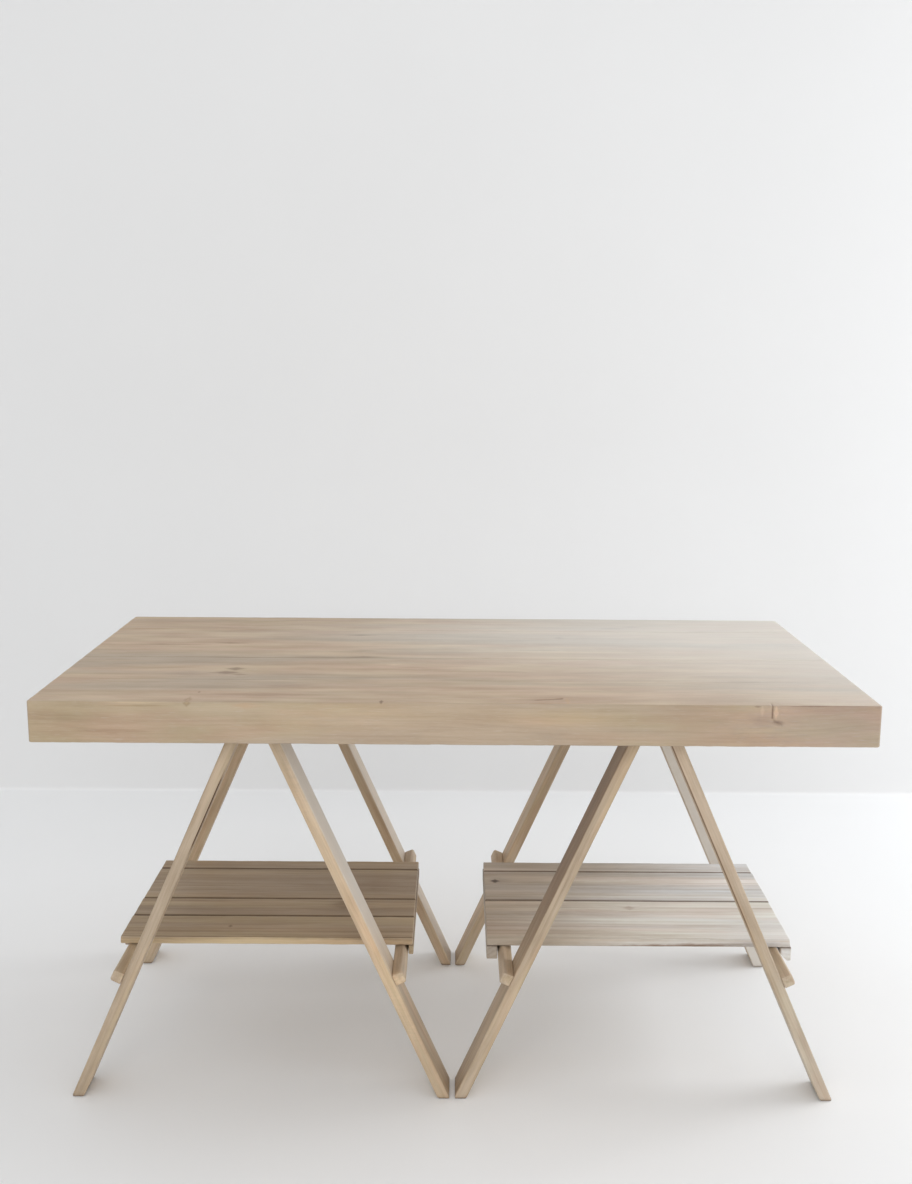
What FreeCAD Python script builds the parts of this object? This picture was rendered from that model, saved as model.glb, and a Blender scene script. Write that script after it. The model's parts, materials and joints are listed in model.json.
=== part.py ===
import FreeCAD, Part
import os
import Sketcher

# Folding trestle table: a hollow box top lies loose on two A-shaped trestles.
# Each trestle is two leg frames hinged at the head, and a slatted shelf hooks over their rails.
# Frame: origin on the floor under the middle of the top, X along the top, Y to the back, Z up.

doc = FreeCAD.newDocument("folding_trestle_table")

# Driving sizes in millimetres, the lean in degrees
driving_sizes = (
    ("table_height", 750, "floor to the upper face of the top"),
    ("top_length", 1400, "top, along X"),
    ("top_width", 700, "top, along Y"),
    ("top_thickness", 72, "height of the edge boards round the top"),
    ("top_board_thickness", 20, "boards of the upper face"),
    ("edge_board_thickness", 20, "boards round the edge"),
    ("underside_thickness", 9, "panel that closes the box from below"),
    ("panel_clearance", 0.5, "room between the panel and the edge boards"),
    ("rib_thickness", 20, "cross ribs inside the box"),
    ("rib_end_inset", 70, "end rib, from the end of the top"),
    ("top_corner_radius", 6, "upright corners of the top"),
    ("top_arris_radius", 3, "upper and lower edges of the top"),
    ("leg_thickness", 20, "leg, across its narrow face"),
    ("leg_width", 65, "leg, along Y"),
    ("leg_lean", 23.8, "lean of each leg frame from upright"),
    ("leg_edge_radius", 2.5, "rounded long edges of the legs"),
    ("trestle_depth", 570, "front face to back face of a trestle"),
    ("trestle_gap", 7, "between the feet of the two trestles"),
    ("head_rail_thickness", 17, "head rail, square to its leg frame"),
    ("head_rail_height", 24, "head rail, down its inner face"),
    ("head_rail_inset", 10, "head rail end, from the leg's face"),
    ("head_rail_edge_radius", 2, "lower edges of the head rail"),
    ("shelf_rail_thickness", 20, "shelf rail, square to its leg frame"),
    ("shelf_rail_height", 21, "shelf rail, along its leg frame"),
    ("shelf_rail_round", 4.5, "outer long edges of the shelf rail"),
    ("frame_tenon_thickness", 6, "loose tenons in the leg frames"),
    ("shelf_tenon_thickness", 4, "loose tenons in the shelves"),
    ("tenon_width", 24, "loose tenon, along Y"),
    ("frame_tenon_length", 20, "half in the leg and half in the rail"),
    ("shelf_tenon_length", 16, "half in the cleat and half in the board"),
    ("tenon_clearance", 0.05, "glue room round a tenon"),
    ("tenon_end_clearance", 0.5, "room past each end of a tenon"),
    ("hinge_drop", 4, "hinge axis, below the underside of the top"),
    ("fold_gap", 2, "between the head rails when folded flat"),
    ("head_clearance", 0.3, "head rail to the middle plane, above the axis"),
    ("hinge_inset", 105, "middle of a hinge, from the trestle's face"),
    ("hinge_length", 50, "butt hinge, along its pin"),
    ("hinge_leaf_width", 15, "leaf, from the axis to its free edge"),
    ("hinge_leaf_thickness", 1.8, "leaf of the butt hinge"),
    ("hinge_let_in_clearance", 0.4, "room round a leaf let into its rail"),
    ("knuckle_radius", 3, "outside of the hinge knuckles"),
    ("knuckle_clearance", 0.4, "room round the knuckles"),
    ("knuckle_side_clearance", 0.2, "room between two knuckles"),
    ("hinge_pin_radius", 1.5, "hinge pin"),
    ("pin_grip_clearance", 0.01, "pin in the leaf that holds it"),
    ("pin_running_clearance", 0.05, "pin in the leaf that turns on it"),
    ("shelf_height", 257, "floor to the upper face of the shelf"),
    ("shelf_depth", 360, "shelf, along Y"),
    ("shelf_board_thickness", 14, "boards of the shelf"),
    ("shelf_board_gap", 2, "between two boards"),
    ("shelf_board_edge_radius", 3, "rounded long edges of the boards"),
    ("left_front_arris_radius", 3, "upper front edge of the left shelf"),
    ("right_front_arris_radius", 9, "upper front edge of the right shelf, rolled over"),
    ("shelf_seat_clearance", 0.3, "boards above the rail's rounded edge"),
    ("left_cleat_thickness", 9, "cleats of the left shelf, along X"),
    ("left_cleat_height", 18, "cleats of the left shelf, below the boards"),
    ("right_cleat_thickness", 20, "cleats of the right shelf, along X"),
    ("right_cleat_height", 26, "cleats of the right shelf, below the boards"),
    ("left_outer_cleat_inset", 30, "left outer cleat, from the front of the shelf"),
    ("right_outer_cleat_bevel", 13, "lower inner edge of the right outer cleat"),
    ("cleat_clearance", 0.5, "cleat to the outside of the rail"),
    ("cleat_edge_radius", 2, "lower edges of the cleat"),
    ("overrun", 5, "how far a cut runs past the face"),
)
sizes = doc.addObject("Spreadsheet::Sheet", "Sizes")
for row, (alias, size, note) in enumerate(driving_sizes, start=1):
    sizes.set(f"A{row}", note)
    sizes.set(f"B{row}", str(size))
    sizes.setAlias(f"B{row}", alias)
doc.recompute()

# Widths of the boards, front to back, as shares of the piece that they make up
top_board_shares = (0.21, 0.24, 0.17, 0.19, 0.19)
shelf_board_shares = {
    "left": (0.256, 0.217, 0.408, 0.119),
    "right": (0.469, 0.397, 0.134),
}
knuckle_count = 3
trestles = ("left", "right")
sides = ("outer", "inner")
rows = ("front", "back")

# Sizes that follow from the driving ones. A leg frame has its own axes from the middle of its hinge axis:
# X square out of the frame, Y along the hinge and Z up the frame.
derived = doc.addObject("App::VarSet", "Derived")


def derive(name, formula):
    derived.addProperty("App::PropertyFloat", name)
    derived.setExpression(name, formula)


derive("top_half_length", "Sizes.top_length / 2")
derive("top_half_width", "Sizes.top_width / 2")
derive("inner_half_length", "Derived.top_half_length - Sizes.edge_board_thickness")
derive("inner_half_width", "Derived.top_half_width - Sizes.edge_board_thickness")
derive("underside_height", "Sizes.table_height - Sizes.top_thickness")
derive("top_board_height", "Sizes.table_height - Sizes.top_board_thickness")
derive("axis_height", "Derived.underside_height - Sizes.hinge_drop")
derive("head_inner", "Sizes.fold_gap / 2")
derive("leg_inner", "Derived.head_inner + Sizes.head_rail_thickness")
derive("leg_outer", "Derived.leg_inner + Sizes.leg_thickness")
derive("rail_outer", "Derived.leg_outer + Sizes.shelf_rail_thickness")
derive("foot_reach", "Derived.leg_outer / cos(Sizes.leg_lean) + Derived.axis_height * tan(Sizes.leg_lean)")
derive("trestle_centre", "Derived.foot_reach + Sizes.trestle_gap / 2")
derive("leg_station", "(Sizes.trestle_depth - Sizes.leg_width) / 2")
derive("hinge_station", "Sizes.trestle_depth / 2 - Sizes.hinge_inset")
derive("head_foot", "Sizes.hinge_drop - Sizes.head_rail_height")
derive("head_tenon_level", "Derived.head_foot + Sizes.frame_tenon_thickness")
derive("board_underside", "Sizes.shelf_height - Sizes.shelf_board_thickness")
derive("rail_round_centre", "Derived.rail_outer - Sizes.shelf_rail_round")
derive(
    "rail_top",
    "(Derived.board_underside - Sizes.shelf_seat_clearance - Derived.axis_height - Sizes.shelf_rail_round"
    " - Derived.rail_round_centre * sin(Sizes.leg_lean)) / cos(Sizes.leg_lean) + Sizes.shelf_rail_round",
)
derive("rail_foot", "Derived.rail_top - Sizes.shelf_rail_height")
derive("rail_tenon_level", "(Derived.rail_top + Derived.rail_foot) / 2")
derive(
    "rail_reach",
    "Derived.rail_round_centre * cos(Sizes.leg_lean) + Sizes.shelf_rail_round"
    " - (Derived.rail_foot + Sizes.shelf_rail_round) * sin(Sizes.leg_lean)",
)
derive("cleat_inner", "Derived.rail_reach + Sizes.cleat_clearance")
for trestle in trestles:
    derive(f"{trestle}_shelf_half", f"Derived.cleat_inner + Sizes.{trestle}_cleat_thickness")
    derive(f"{trestle}_cleat_middle", f"Derived.cleat_inner + Sizes.{trestle}_cleat_thickness / 2")
    derive(f"{trestle}_cleat_foot", f"Derived.board_underside - Sizes.{trestle}_cleat_height")
derive("leaf_face", "Derived.head_inner + Sizes.hinge_leaf_thickness")
doc.recompute()


def value(formula):
    return float(sizes.evalExpression(formula))


def both_ways(formula):
    return f"-{formula}", formula


def level_cut(offset, height):
    # Frame Z at which a level plane, given by its height above the hinge axis, crosses a frame X.
    return f"({height} - {offset} * sin(Sizes.leg_lean)) / cos(Sizes.leg_lean)"


# Sketches, whose every point is bound to the sheet


def sketch_on(body, name, role, offset="0"):
    sketch = body.newObject("Sketcher::SketchObject", name)
    plane = next(item for item in body.Origin.OriginFeatures if item.Role == role)
    sketch.AttachmentSupport = [(plane, "")]
    sketch.MapMode = "FlatFace"
    sketch.setExpression("AttachmentOffset.Base.z", offset)
    return sketch


def bind(sketch, constraint, formula):
    index = sketch.addConstraint(constraint)
    sketch.setExpression(f"Constraints[{index}]", formula)


def bind_point(sketch, geometry, point, place):
    for kind, formula in zip(("DistanceX", "DistanceY"), place):
        bind(sketch, Sketcher.Constraint(kind, -1, 1, geometry, point, value(formula)), formula)


def draw_outline(sketch, corners):
    points = [FreeCAD.Vector(value(across), value(up), 0) for across, up in corners]
    lines = [
        sketch.addGeometry(Part.LineSegment(start, end), False)
        for start, end in zip(points, points[1:] + points[:1])
    ]
    for line, following in zip(lines, lines[1:] + lines[:1]):
        sketch.addConstraint(Sketcher.Constraint("Coincident", line, 2, following, 1))
    for line, place in zip(lines, corners):
        bind_point(sketch, line, 1, place)


def draw_rectangle(sketch, left, right, low, high):
    draw_outline(sketch, ((left, low), (right, low), (right, high), (left, high)))


def draw_circles(sketch, centres, radius):
    normal = FreeCAD.Vector(0, 0, 1)
    for place in centres:
        centre = FreeCAD.Vector(value(place[0]), value(place[1]), 0)
        circle = sketch.addGeometry(Part.Circle(centre, normal, value(radius)), False)
        bind_point(sketch, circle, 3, place)
        bind(sketch, Sketcher.Constraint("Radius", circle, value(radius)), radius)


# Features on a body


def new_body(name):
    body = doc.addObject("PartDesign::Body", name)
    body.Label = name
    return body


def extrude(body, kind, sketch, length, side="Symmetric", backwards=False):
    doc.recompute()
    before = body.Tip.Shape.Volume if body.Tip else 0
    feature = body.newObject(f"PartDesign::{kind}", f"{sketch.Name}_{kind.lower()}")
    feature.Profile = sketch
    feature.SideType = side
    feature.Reversed = backwards
    feature.setExpression("Length", length)
    body.Tip = feature
    doc.recompute()
    grows = feature.Shape.Volume > before
    if feature.Shape.Volume == before or grows != (kind == "Pad"):
        raise RuntimeError(f"{feature.Name} changes nothing")
    return feature


def dress_edges(body, kind, name, size, wanted):
    doc.recompute()
    base = body.Tip
    edges = [f"Edge{number}" for number, edge in enumerate(base.Shape.Edges, start=1) if wanted(edge)]
    feature = body.newObject(f"PartDesign::{kind}", name)
    feature.Base = (base, edges)
    feature.setExpression({"Fillet": "Radius", "Chamfer": "Size"}[kind], size)
    body.Tip = feature
    doc.recompute()


def mirror_features(body, name, features):
    mirrored = body.newObject("PartDesign::Mirrored", name)
    mirrored.Originals = features
    plane = next(item for item in body.Origin.OriginFeatures if item.Role == "XZ_Plane")
    mirrored.MirrorPlane = (plane, [""])
    body.Tip = mirrored
    doc.recompute()


def is_along(edge, axis):
    if edge.Curve.TypeId != "Part::GeomLine":
        return False
    return abs(abs(edge.Curve.Direction.dot(axis)) - 1) < edge.Tolerance


x_axis = FreeCAD.Vector(1, 0, 0)
y_axis = FreeCAD.Vector(0, 1, 0)
z_axis = FreeCAD.Vector(0, 0, 1)

nodes = []


def add_node(piece, label):
    piece.Label = label
    nodes.append(piece)
    return piece


def add_group(pieces, label):
    group = doc.addObject("Part::Compound", label)
    group.Links = pieces
    return add_node(group, label)


# Tabletop: boards and edge boards meet in mitres, all cut from one rounded envelope


def make_top_envelope():
    body = new_body("top_envelope")
    sketch = sketch_on(body, "top_plan", "XY_Plane", "Derived.underside_height")
    draw_rectangle(sketch, *both_ways("Derived.top_half_length"), *both_ways("Derived.top_half_width"))
    extrude(body, "Pad", sketch, "Sizes.top_thickness", "One side")
    dress_edges(body, "Fillet", "top_corners", "Sizes.top_corner_radius", lambda edge: is_along(edge, z_axis))
    dress_edges(
        body,
        "Fillet",
        "top_arrises",
        "Sizes.top_arris_radius",
        lambda edge: edge.BoundBox.ZLength < edge.Tolerance,
    )
    return body


def make_mitred_board(label, near, far, placement):
    # A wedge from its near rectangle to its far one along its own Y, trimmed by the envelope.
    wedge = doc.addObject("Part::Wedge", f"{label}_wedge")
    near_names = ("Ymin", "Xmin", "Xmax", "Zmin", "Zmax")
    far_names = ("Ymax", "X2min", "X2max", "Z2min", "Z2max")
    for name, formula in zip(near_names + far_names, near + far):
        wedge.setExpression(name, formula)
    wedge.setExpression("Placement", placement)
    board = doc.addObject("Part::Common", label)
    board.Base = wedge
    board.Tool = top_envelope
    return add_node(board, label)


def make_top_boards():
    upright = "placement(vector(0; 0; 0); rotation(vector(1; 0; 0); 90))"
    last = len(top_board_shares) - 1
    for number in range(len(top_board_shares)):
        start = f"Derived.top_half_width - Sizes.top_width * {sum(top_board_shares[:number])}"
        end = f"Derived.top_half_width - Sizes.top_width * {sum(top_board_shares[:number + 1])}"
        low_start = "Derived.inner_half_width" if number == 0 else start
        low_end = "-Derived.inner_half_width" if number == last else end
        make_mitred_board(
            f"top_board_{number + 1}",
            ("Derived.top_board_height", *both_ways("Derived.inner_half_length"), low_end, low_start),
            ("Sizes.table_height", *both_ways("Derived.top_half_length"), end, start),
            upright,
        )


def make_edge_boards():
    runs = (
        ("front_edge_board", "width", "length", 0),
        ("right_edge_board", "length", "width", 90),
        ("back_edge_board", "width", "length", 180),
        ("left_edge_board", "length", "width", 270),
    )
    for label, reach, along, turn in runs:
        outer = f"-Derived.top_half_{reach}"
        inner = f"-Derived.inner_half_{reach}"
        foot = "Derived.underside_height"
        make_mitred_board(
            label,
            (outer, *both_ways(f"Derived.top_half_{along}"), foot, "Sizes.table_height"),
            (inner, *both_ways(f"Derived.inner_half_{along}"), foot, "Derived.top_board_height"),
            f"placement(vector(0; 0; 0); rotation(vector(0; 0; 1); {turn}))",
        )


def make_top_core():
    end_station = "(Derived.top_half_length - Sizes.rib_end_inset)"
    stations = (f"-{end_station}", "-Derived.trestle_centre", "0", "Derived.trestle_centre", end_station)
    height = "Sizes.top_thickness - Sizes.top_board_thickness - Sizes.underside_thickness"
    ribs = []
    for number, station in enumerate(stations, start=1):
        rib = doc.addObject("Part::Box", f"cross_rib_{number}")
        rib.setExpression("Length", "Sizes.rib_thickness")
        rib.setExpression("Width", "2 * Derived.inner_half_width")
        rib.setExpression("Height", height)
        rib.setExpression("Placement.Base.x", f"{station} - Sizes.rib_thickness / 2")
        rib.setExpression("Placement.Base.y", "-Derived.inner_half_width")
        rib.setExpression("Placement.Base.z", "Derived.underside_height + Sizes.underside_thickness")
        ribs.append(rib)
    add_group(ribs, "cross_ribs")
    panel = doc.addObject("Part::Box", "underside_panel")
    panel.setExpression("Length", "2 * (Derived.inner_half_length - Sizes.panel_clearance)")
    panel.setExpression("Width", "2 * (Derived.inner_half_width - Sizes.panel_clearance)")
    panel.setExpression("Height", "Sizes.underside_thickness")
    panel.setExpression("Placement.Base.x", "Sizes.panel_clearance - Derived.inner_half_length")
    panel.setExpression("Placement.Base.y", "Sizes.panel_clearance - Derived.inner_half_width")
    panel.setExpression("Placement.Base.z", "Derived.underside_height")
    add_node(panel, "underside_panel")


# Leg frames, each drawn in its own axes and then leaned and turned into place


def frame_placement(trestle, side):
    sign = "-" if trestle == "left" else ""
    turn = 180 if (trestle == "left") == (side == "outer") else 0
    return (
        f"placement(vector({sign}Derived.trestle_centre; 0; Derived.axis_height); "
        f"rotation(vector(0; 0; 1); {turn}) * rotation(vector(0; 1; 0); -Sizes.leg_lean))"
    )


def row_sign(trestle, side, row):
    turned = (trestle == "left") == (side == "outer")
    return "" if turned == (row == "front") else "-"


def cut_mortises(body, name, role, face, places, kind, backwards):
    # Slots for loose tenons, cut from one face: width along Y, thickness up the frame or along the shelf.
    sketch = sketch_on(body, name, role, face)
    half_width = "(Sizes.tenon_width / 2 + Sizes.tenon_clearance)"
    half_thickness = f"(Sizes.{kind}_tenon_thickness / 2 + Sizes.tenon_clearance)"
    half_across, half_up = (half_width, half_thickness)
    if kind == "shelf":
        half_across, half_up = (half_thickness, half_width)
    for across, up in places:
        draw_rectangle(
            sketch,
            f"{across} - {half_across}",
            f"{across} + {half_across}",
            f"{up} - {half_up}",
            f"{up} + {half_up}",
        )
    depth = f"Sizes.{kind}_tenon_length / 2 + Sizes.tenon_end_clearance"
    extrude(body, "Pocket", sketch, depth, "One side", backwards)


# Where each joint of a leg frame lies: the face that its two pieces share, and its level up the frame
frame_joints = {
    "head": ("Derived.leg_inner", "Derived.head_tenon_level"),
    "rail": ("Derived.leg_outer", "Derived.rail_tenon_level"),
}


def cut_frame_mortises(body, joint, signs, backwards):
    face, level = frame_joints[joint]
    places = [(f"{sign}Derived.leg_station", level) for sign in signs]
    name = f"{body.Name}_{joint}_mortises"
    cut_mortises(body, name, "YZ_Plane", face, places, "frame", backwards)


def make_leg(label, placement, sign):
    body = new_body(label)
    # The plane's own normal points to -Y, so the station changes its sign.
    station = f"-({sign}Derived.leg_station)"
    sketch = sketch_on(body, f"{label}_side", "XZ_Plane", station)
    foot = "-Derived.axis_height"
    head = "Sizes.hinge_drop"
    draw_outline(
        sketch,
        (
            ("Derived.leg_inner", level_cut("Derived.leg_inner", foot)),
            ("Derived.leg_outer", level_cut("Derived.leg_outer", foot)),
            ("Derived.leg_outer", level_cut("Derived.leg_outer", head)),
            ("Derived.leg_inner", level_cut("Derived.leg_inner", head)),
        ),
    )
    extrude(body, "Pad", sketch, "Sizes.leg_width")
    dress_edges(
        body, "Fillet", f"{label}_edges", "Sizes.leg_edge_radius", lambda edge: is_along(edge, z_axis)
    )
    cut_frame_mortises(body, "head", [sign], True)
    cut_frame_mortises(body, "rail", [sign], False)
    body.setExpression("Placement", placement)
    return add_node(body, label)


def make_shelf_rail(label, placement):
    body = new_body(label)
    sketch = sketch_on(body, f"{label}_section", "XZ_Plane")
    draw_rectangle(sketch, "Derived.leg_outer", "Derived.rail_outer", "Derived.rail_foot", "Derived.rail_top")
    extrude(body, "Pad", sketch, "Sizes.trestle_depth")
    middle = value("(Derived.leg_outer + Derived.rail_outer) / 2")
    dress_edges(
        body,
        "Fillet",
        f"{label}_outer_edges",
        "Sizes.shelf_rail_round",
        lambda edge: is_along(edge, y_axis) and edge.CenterOfMass.x > middle,
    )
    cut_frame_mortises(body, "rail", ("-", ""), True)
    body.setExpression("Placement", placement)
    return add_node(body, label)


def make_head_rail(label, placement):
    body = new_body(label)
    sketch = sketch_on(body, f"{label}_section", "XZ_Plane")
    # Above the axis the inner face is cut upright, so that two head rails standing open don't meet.
    lean_cos = "cos(Sizes.leg_lean)"
    lean_sin = "sin(Sizes.leg_lean)"
    draw_outline(
        sketch,
        (
            ("Derived.head_inner", "Derived.head_foot"),
            ("Derived.leg_inner", "Derived.head_foot"),
            ("Derived.leg_inner", level_cut("Derived.leg_inner", "Sizes.hinge_drop")),
            (
                f"Sizes.head_clearance * {lean_cos} + Sizes.hinge_drop * {lean_sin}",
                f"Sizes.hinge_drop * {lean_cos} - Sizes.head_clearance * {lean_sin}",
            ),
            (
                "Derived.head_inner",
                f"(Derived.head_inner * {lean_cos} - Sizes.head_clearance) / {lean_sin}",
            ),
        ),
    )
    extrude(body, "Pad", sketch, "Sizes.trestle_depth - 2 * Sizes.head_rail_inset")
    foot = value("Derived.head_foot")
    dress_edges(
        body,
        "Fillet",
        f"{label}_edges",
        "Sizes.head_rail_edge_radius",
        lambda edge: is_along(edge, y_axis) and abs(edge.CenterOfMass.z - foot) < edge.Tolerance,
    )
    cut_frame_mortises(body, "head", ("-", ""), False)

    # Each hinge leaf is let in flush, with a round groove for the knuckles.
    bed_length = "Sizes.hinge_length + 2 * Sizes.hinge_let_in_clearance"
    bed_sketch = sketch_on(body, f"{label}_leaf_bed", "XZ_Plane", "Derived.hinge_station")
    draw_rectangle(
        bed_sketch,
        "Derived.head_inner - Sizes.overrun",
        "Derived.leaf_face",
        "-(Sizes.hinge_leaf_width + Sizes.hinge_let_in_clearance)",
        "Sizes.hinge_drop + Sizes.overrun",
    )
    bed = extrude(body, "Pocket", bed_sketch, bed_length)
    groove_sketch = sketch_on(body, f"{label}_knuckle_groove", "XZ_Plane", "Derived.hinge_station")
    draw_circles(groove_sketch, [("0", "0")], "Sizes.knuckle_radius + Sizes.knuckle_clearance")
    groove = extrude(body, "Pocket", groove_sketch, bed_length)
    mirror_features(body, f"{label}_second_bed", [bed, groove])
    body.setExpression("Placement", placement)
    return add_node(body, label)


def make_tenon(name, placement, kind, middle, turn):
    # A flat loose tenon: length along its own X, turned about Y, with its middle on a joint.
    tenon = doc.addObject("Part::Box", name)
    length = f"Sizes.{kind}_tenon_length"
    thickness = f"Sizes.{kind}_tenon_thickness"
    tenon.setExpression("Length", length)
    tenon.setExpression("Width", "Sizes.tenon_width")
    tenon.setExpression("Height", thickness)
    corner = f"vector(-{length} / 2; -Sizes.tenon_width / 2; -{thickness} / 2)"
    tenon.setExpression(
        "Placement",
        f"{placement} * placement({middle}; rotation(vector(0; 1; 0); {turn}))"
        f" * placement({corner}; rotation(vector(0; 1; 0); 0))",
    )
    return tenon


def make_frame_tenons(label, placement):
    middles = [
        f"vector({face}; {sign}Derived.leg_station; {level})"
        for face, level in frame_joints.values()
        for sign in ("-", "")
    ]
    tenons = [
        make_tenon(f"{label}_{number}", placement, "frame", middle, 0)
        for number, middle in enumerate(middles, start=1)
    ]
    return add_group(tenons, label)


# Butt hinges: the outer frame's leaves carry the end knuckles and hold the pins


def make_hinge_leaf(label, placement, sign, first_gap, bore_clearance):
    body = new_body(label)
    station = f"-({sign}Derived.hinge_station)"
    plate = sketch_on(body, f"{label}_plate", "XZ_Plane", station)
    draw_rectangle(plate, "Derived.head_inner", "Derived.leaf_face", "-Sizes.hinge_leaf_width", "0")
    extrude(body, "Pad", plate, "Sizes.hinge_length")
    barrel = sketch_on(body, f"{label}_barrel", "XZ_Plane", station)
    draw_circles(barrel, [("0", "0")], "Sizes.knuckle_radius")
    extrude(body, "Pad", barrel, "Sizes.hinge_length")
    bore = sketch_on(body, f"{label}_bore", "XZ_Plane", station)
    draw_circles(bore, [("0", "0")], f"Sizes.hinge_pin_radius + {bore_clearance}")
    extrude(body, "Pocket", bore, "Sizes.hinge_length + 2 * Sizes.overrun")

    # The other leaf's knuckles turn in the gaps between these.
    gaps = sketch_on(body, f"{label}_gaps", "YZ_Plane")
    pitch = f"Sizes.hinge_length / {knuckle_count}"
    start = f"{sign}Derived.hinge_station - Sizes.hinge_length / 2"
    reach = "Sizes.knuckle_radius + Sizes.knuckle_clearance"
    for knuckle in range(first_gap, knuckle_count, 2):
        draw_rectangle(
            gaps,
            f"{start} + {knuckle} * {pitch} - Sizes.knuckle_side_clearance / 2",
            f"{start} + {knuckle + 1} * {pitch} + Sizes.knuckle_side_clearance / 2",
            f"-({reach})",
            reach,
        )
    extrude(body, "Pocket", gaps, f"4 * ({reach})")
    body.setExpression("Placement", placement)
    return body


def make_hinge_pins(label, placement):
    pins = []
    for row, sign in zip(rows, ("-", "")):
        pin = doc.addObject("Part::Cylinder", f"{label}_{row}")
        pin.setExpression("Radius", "Sizes.hinge_pin_radius")
        pin.setExpression("Height", "Sizes.hinge_length")
        end = f"vector(0; {sign}Derived.hinge_station + Sizes.hinge_length / 2; 0)"
        pin.setExpression("Placement", f"{placement} * placement({end}; rotation(vector(1; 0; 0); 90))")
        pins.append(pin)
    return add_group(pins, label)


def make_leg_frame(trestle, side):
    prefix = f"{trestle}_{side}"
    placement = frame_placement(trestle, side)
    for row in rows:
        make_leg(f"{prefix}_{row}_leg", placement, row_sign(trestle, side, row))
    make_head_rail(f"{prefix}_head_rail", placement)
    make_shelf_rail(f"{prefix}_shelf_rail", placement)
    make_frame_tenons(f"{prefix}_tenons", placement)
    first_gap = 1 if side == "outer" else 0
    bore_clearance = "Sizes.pin_grip_clearance" if side == "outer" else "Sizes.pin_running_clearance"
    leaves = [
        make_hinge_leaf(f"{prefix}_{row}_leaf", placement, sign, first_gap, bore_clearance)
        for row, sign in zip(rows, ("-", ""))
    ]
    add_group(leaves, f"{prefix}_hinge_leaves")
    if side == "outer":
        make_hinge_pins(f"{trestle}_hinge_pins", placement)


# Shelf: boards tenoned to two cleats that hook over the rails of both leg frames


def board_spans(shares):
    start = "-Sizes.shelf_depth / 2"
    half_gap = "Sizes.shelf_board_gap / 2"
    last = len(shares) - 1
    spans = []
    for number in range(len(shares)):
        low = f"{start} + Sizes.shelf_depth * {sum(shares[:number])}"
        high = f"{start} + Sizes.shelf_depth * {sum(shares[:number + 1])}"
        spans.append((
            low if number == 0 else f"{low} + {half_gap}",
            high if number == last else f"{high} - {half_gap}",
        ))
    return spans


def cut_shelf_mortises(body, name, places, backwards):
    face = "Derived.board_underside"
    cut_mortises(body, name, "XY_Plane", face, places, "shelf", backwards)


def make_shelf_board(trestle, number, placement, low, high):
    label = f"{trestle}_shelf_board_{number}"
    body = new_body(label)
    sketch = sketch_on(body, f"{label}_section", "YZ_Plane")
    draw_rectangle(sketch, low, high, "Derived.board_underside", "Sizes.shelf_height")
    extrude(body, "Pad", sketch, f"2 * Derived.{trestle}_shelf_half")
    front = value(low)
    upper = value("Sizes.shelf_height")

    def is_front_arris(edge):
        middle = edge.CenterOfMass
        return abs(middle.y - front) < edge.Tolerance and abs(middle.z - upper) < edge.Tolerance

    dress_edges(
        body,
        "Fillet",
        f"{label}_edges",
        "Sizes.shelf_board_edge_radius",
        lambda edge: is_along(edge, x_axis) and not is_front_arris(edge),
    )
    arris_radius = f"Sizes.{trestle}_front_arris_radius" if number == 1 else "Sizes.shelf_board_edge_radius"
    dress_edges(body, "Fillet", f"{label}_front_arris", arris_radius, is_front_arris)
    places = [(f"{sign}Derived.{trestle}_cleat_middle", f"({low} + {high}) / 2") for sign in ("-", "")]
    cut_shelf_mortises(body, f"{label}_mortises", places, True)
    body.setExpression("Placement", placement)
    return add_node(body, label)


def make_shelf_cleat(trestle, side, placement, sign, spans):
    label = f"{trestle}_shelf_{side}_cleat"
    body = new_body(label)
    # The left outer cleat starts behind the front of the shelf, so that the boards hide it.
    inset = "Sizes.left_outer_cleat_inset" if (trestle, side) == ("left", "outer") else "0"
    sketch = sketch_on(body, f"{label}_section", "XZ_Plane", f"-{inset} / 2")
    near, far = f"{sign}Derived.cleat_inner", f"{sign}Derived.{trestle}_shelf_half"
    left, right = (far, near) if sign else (near, far)
    cleat_foot = f"Derived.{trestle}_cleat_foot"
    draw_rectangle(sketch, left, right, cleat_foot, "Derived.board_underside")
    extrude(body, "Pad", sketch, f"Sizes.shelf_depth - {inset}")
    foot = value(cleat_foot)
    inner = value(near)
    if (trestle, side) == ("right", "outer"):
        dress_edges(
            body,
            "Chamfer",
            f"{label}_bevel",
            "Sizes.right_outer_cleat_bevel",
            lambda edge: is_along(edge, y_axis)
            and abs(edge.CenterOfMass.z - foot) < edge.Tolerance
            and abs(edge.CenterOfMass.x - inner) < edge.Tolerance,
        )
    dress_edges(
        body,
        "Fillet",
        f"{label}_edges",
        "Sizes.cleat_edge_radius",
        lambda edge: is_along(edge, y_axis) and abs(edge.CenterOfMass.z - foot) < edge.Tolerance,
    )
    places = [(f"{sign}Derived.{trestle}_cleat_middle", f"({low} + {high}) / 2") for low, high in spans]
    cut_shelf_mortises(body, f"{label}_mortises", places, False)
    body.setExpression("Placement", placement)
    return add_node(body, label)


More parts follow.
